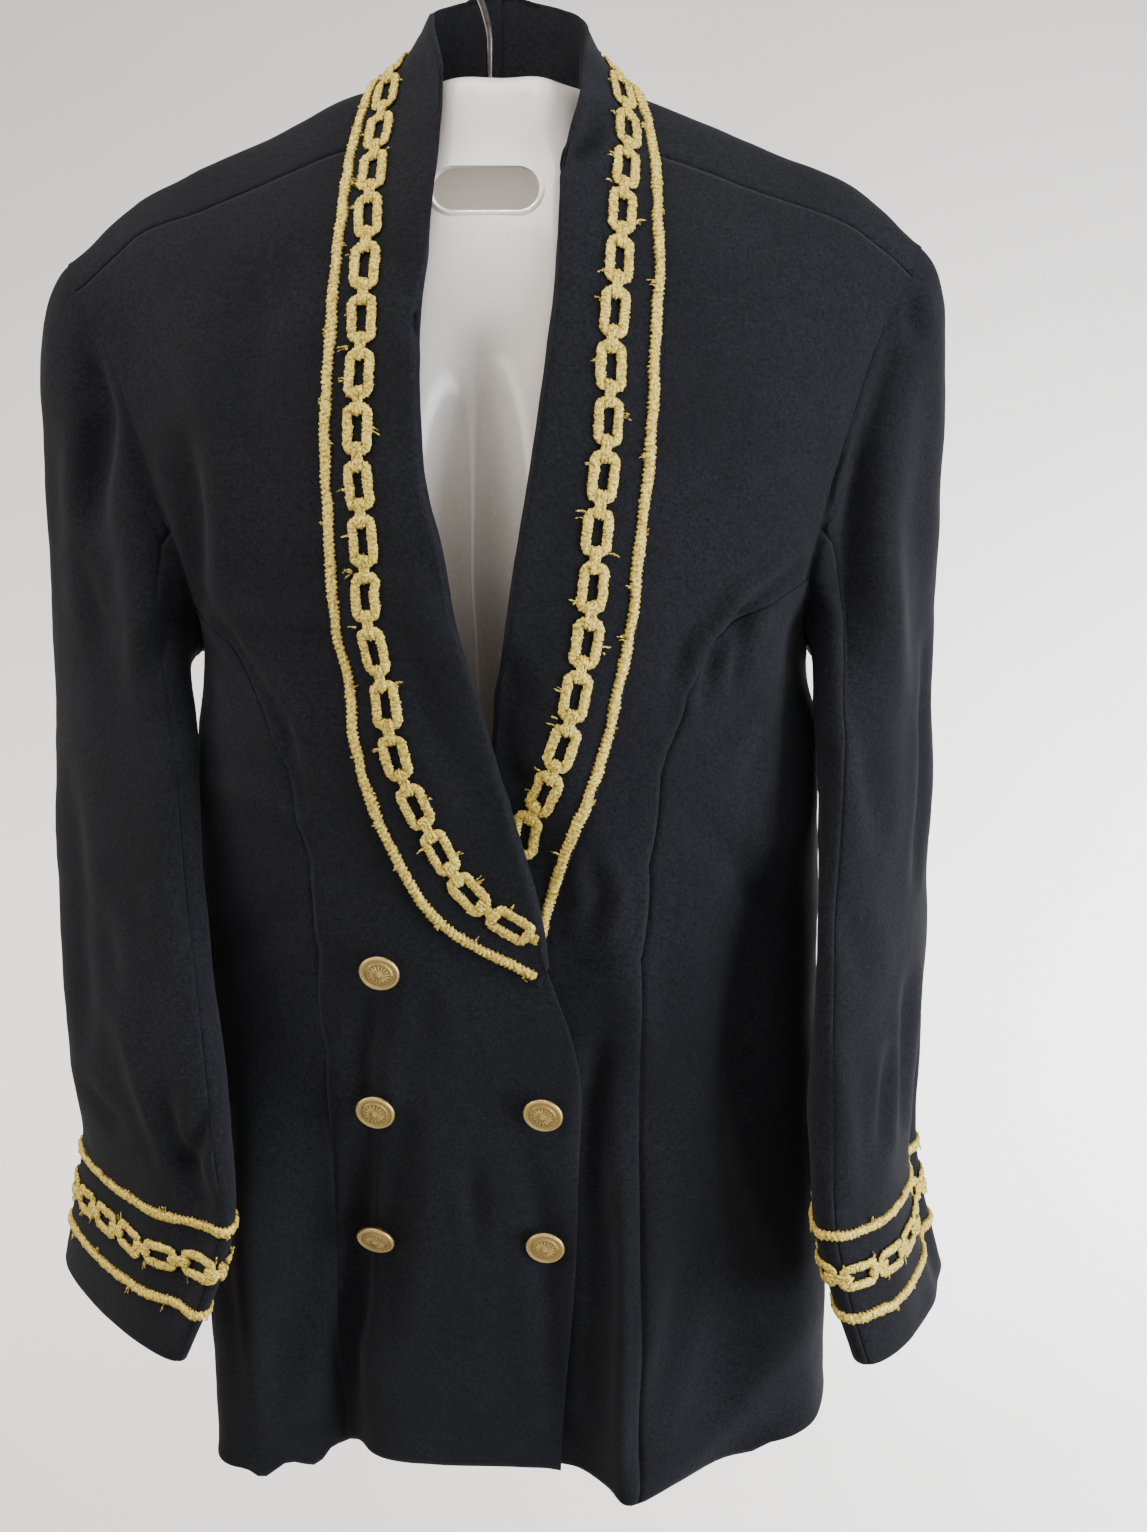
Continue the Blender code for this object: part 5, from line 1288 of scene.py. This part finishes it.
def form_face(u, v):
    """The form's outer face: the body's surface drawn in, with the neck raised out of it."""
    h = 0.02
    along_u = plain_body(np.minimum(u + h, 1), v) - plain_body(np.maximum(u - h, -1), v)
    along_v = plain_body(u, v + h) - plain_body(u, v - h)
    normal = unit(np.cross(along_u, along_v))
    point = plain_body(u, v)
    x = point[..., 0] / MM
    # Round the neck the face lies deeper, so that the cloth's neckline stands off it
    near_neck = soft_step((76 - np.abs(x - NECK_X)) / 12) * soft_step((12.6 - v) / 0.6)
    near_neck = near_neck * soft_step((v - 9.6) / 0.4)
    inset = curve_through(FORM_INSET, v) + 5.2 * near_neck
    point = point - normal * inset[..., None] * MM
    neck = curve_through(NECK_ROWS, v)
    raised = soft_step((NECK_FOOT - np.abs(x - NECK_X)) / (NECK_FOOT - NECK_HALF)) * neck[..., 2]
    raised = np.where((v > NECK_ROWS[0][0]) & (v < NECK_ROWS[-1][0]), raised, 0.0)
    narrow = 1 - 0.18 * raised * soft_step(np.abs(x - NECK_X) / 20)
    top = np.stack([(NECK_X + (x - NECK_X) * narrow) * MM, neck[..., 1] * MM, neck[..., 0] * MM], -1)
    return point + (top - point) * raised[..., None]


def form_mesh():
    """The form's skin: its face as a grid, closed at the sides."""
    work = bmesh.new()
    columns, rows = len(FORM_COLUMNS) - 1, len(FORM_ROWS) - 1
    grid = {}
    for vert, p, q in grid_corners(work, columns, rows):
        i, j = round(p * columns), round(q * rows)
        grid[i, j] = vert
        vert.co = form_face(np.array(FORM_COLUMNS[i]), np.array(FORM_ROWS[j]))
    for i in (0, columns):
        work.edges.new((grid[i, 0], grid[i, rows]))
        side = {grid[i, j] for j in range(rows + 1)}
        loop = [e for e in work.edges if e.verts[0] in side and e.verts[1] in side]
        bmesh.ops.edgeloop_fill(work, edges=loop)
    bmesh.ops.recalc_face_normals(work, faces=work.faces)
    return refined(mesh_of(work, "form"), REFINE)


def slot_line(grow):
    """Points and outward directions round the grip slot, grown by so many millimetres."""
    radius = SLOT_HEIGHT / 2 + grow
    straight = (SLOT_LENGTH - SLOT_HEIGHT) / 2
    angles = np.linspace(0, math.tau, SLOT_STEPS, endpoint=False)
    ways = np.stack([np.cos(angles), np.sin(angles)], -1)
    shift = np.where(ways[:, :1] >= 0, 1, -1) * np.array([[straight, 0]])
    return np.array(SLOT_CENTRE) + shift + ways * radius, ways


def slot_cutter():
    """A closed prism through the neck's front wall, with the slot's round-ended outline."""
    work = bmesh.new()
    verts = bmesh.ops.create_circle(work, cap_ends=True, radius=1, segments=SLOT_STEPS)["verts"]
    line, ways = slot_line(LIP_WALL)
    for vert in verts:
        x, z = line[np.argmax(ways @ (vert.co.x, vert.co.y))]
        vert.co = Vector((x, -100, z)) * MM
    out = bmesh.ops.extrude_face_region(work, geom=list(work.faces))["geom"]
    bmesh.ops.translate(work, verts=[v for v in out if isinstance(v, bmesh.types.BMVert)], vec=(0, 75 * MM, 0))
    bmesh.ops.recalc_face_normals(work, faces=work.faces)
    return new_object("slot_cutter", mesh_of(work, "slot_cutter"))


def at_neck(points):
    x, z = NECK_PLACE
    return (points[:, 2] > z * MM) & (np.abs(points[:, 0] - NECK_X * MM) < x * MM)


def make_form(body):
    skin = form_mesh()
    points, normals = corners_of(skin), normals_of(skin)
    chest = crease_height(points[:, 0] / MM, points[:, 2] / MM, FORM_HOLLOWS)
    chest *= np.clip(-2 * normals[:, 1], 0, 1)
    move_corners(skin, points + normals * chest[:, None] * MM)
    # It stays behind the cloth, whose outer face body is
    keep_clear(skin, body, FORM_CLEARANCE, 30, 4, -1, at_neck)
    holder = new_object("form", skin)
    add_wall(holder, FORM_WALL)
    cutter = slot_cutter()
    cut = holder.modifiers.new("slot", "BOOLEAN")
    cut.object = cutter
    cut.solver = "EXACT"
    shell = baked(holder)
    bpy.data.objects.remove(cutter, do_unlink=True)
    shell.name = "torso_form_shell"
    finish_piece(new_object("torso_form_shell", shell), PLASTIC, "torso_form")
    shell.set_sharp_from_angle(angle=math.radians(48))
    make_lip(search_tree(shell))


def make_lip(ground):
    """The grip slot's lip: it rolls from the face into the slot."""
    work = bmesh.new()
    line, ways = slot_line(0.0)
    for vert, p, q in grid_corners(work, SLOT_STEPS, 12):
        i = round(p * SLOT_STEPS) % SLOT_STEPS
        (x, z), (way_x, way_z) = line[i], ways[i]
        before = Vector((x + way_x * LIP_WIDTH, -150, z + way_z * LIP_WIDTH)) * MM
        face_y = ground.ray_cast(before, Vector((0, 1, 0)))[0].y / MM
        turn = q * math.pi
        # Over the face, round the edge and in along the slot's wall
        out = LIP_WIDTH * (0.5 + 0.5 * math.cos(turn)) - 0.4 * math.sin(turn)
        raised = LIP_RISE * (math.sin(turn) ** 2 if q < 0.5 else 1.0)
        into = 0.05 - raised + LIP_DEPTH * max(0.0, -math.cos(turn)) ** 1.5
        vert.co = Vector((x + way_x * out, face_y + into, z + way_z * out)) * MM
    bmesh.ops.remove_doubles(work, verts=work.verts, dist=WELD * MM)
    bmesh.ops.recalc_face_normals(work, faces=work.faces)
    lip = new_object("grip_slot_lip", mesh_of(work, "grip_slot_lip"))
    add_wall(lip, LIP_WALL)
    finish_piece(lip, PLASTIC)


def make_hook():
    """The wire hook, round and smooth, over its node's line."""
    first, last = CROWN_ANGLES
    path = list(WIRE_PATH)
    for angle in np.radians(np.linspace(first, last, 25)):
        x, z = CROWN_RADIUS * math.cos(angle), CROWN_RADIUS * math.sin(angle)
        path.append((x, WIRE_RADIUS - CROWN_RADIUS + z))
    points = smooth_line(np.array([(x * MM, 0, z * MM) for x, z in path]), 1.5, False)
    curve = bpy.data.curves.new("hook", "CURVE")
    curve.dimensions = "3D"
    curve.bevel_depth = WIRE_RADIUS * MM
    curve.bevel_resolution = 6
    curve.use_fill_caps = True
    line = curve.splines.new("POLY")
    line.points.add(len(points) - 1)
    for spot, point in zip(line.points, points):
        spot.co = (*point, 1)
    mesh = baked(new_object("hook", curve))
    mesh.name = "hook_wire_round"
    finish_piece(new_object("hook_wire_round", mesh), STEEL, "hook_wire")
    mesh.set_sharp_from_angle(angle=math.radians(50))


def finish_nut():
    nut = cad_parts["hook_nut"]
    nut.data.materials.clear()
    nut.data.materials.append(STEEL)


# Studio
def new_light(name, place, aim, size, energy, colour):
    lamp = bpy.data.lights.new(name, "AREA")
    lamp.shape = "RECTANGLE"
    lamp.size, lamp.size_y = size
    lamp.energy = energy
    lamp.color = linear(colour)[:3]
    made = new_object(name, lamp)
    made.location = place
    made.rotation_euler = (Vector(aim) - Vector(place)).to_track_quat("-Z", "Y").to_euler()


def make_studio():
    work = bmesh.new()
    bend_y, bend_z = WALL_Y - BEND_RADIUS, FLOOR_Z + BEND_RADIUS
    for vert, _, q in grid_corners(work, 2, 24):
        # The floor runs back, bends up in a quarter circle and goes on as the wall
        if q <= 0.25:
            y, z = bend_y - FLOOR_LENGTH * (1 - q / 0.25), FLOOR_Z
        elif q <= 0.75:
            turn = math.radians((q - 0.25) * 180)
            y, z = bend_y + BEND_RADIUS * math.sin(turn), bend_z - BEND_RADIUS * math.cos(turn)
        else:
            y, z = WALL_Y, bend_z + WALL_HEIGHT * (q - 0.75) / 0.25
        vert.co = Vector((vert.co.x * STUDIO_HALF_WIDTH, y, z))
    sweep = new_object("studio_sweep", mesh_of(work, "studio_sweep"))
    sweep.data.materials.append(plaster_material())
    sweep.data.shade_smooth()
    world = bpy.data.worlds.new("studio")
    bpy.context.scene.world = world
    world.use_nodes = True
    world.node_tree.nodes["Background"].inputs["Color"].default_value = linear(ROOM_COLOUR)
    world.node_tree.nodes["Background"].inputs["Strength"].default_value = ROOM_STRENGTH
    for light in LIGHTS:
        new_light(*light)


def make_camera():
    """The photograph's viewpoint: just in front of the chest, looking down a little."""
    lens = bpy.data.cameras.new("camera")
    lens.sensor_fit = "VERTICAL"
    lens.sensor_height = CAMERA_SENSOR
    lens.lens = CAMERA_FOCUS * CAMERA_SENSOR
    lens.clip_start = 0.01
    made = new_object("camera", lens)
    made.location = CAMERA_PLACE
    made.rotation_euler = (math.radians(CAMERA_TILT), 0, 0)
    bpy.context.scene.camera = made


def main():
    make_camera()
    make_studio()
    body = dress_body()
    sleeves = dress_sleeves(body)
    collar = dress_collar(body)
    trim_collar(collar)
    trim_cuffs(sleeves)
    sew_buttons(body)
    make_form(body)
    make_hook()
    finish_nut()


main()
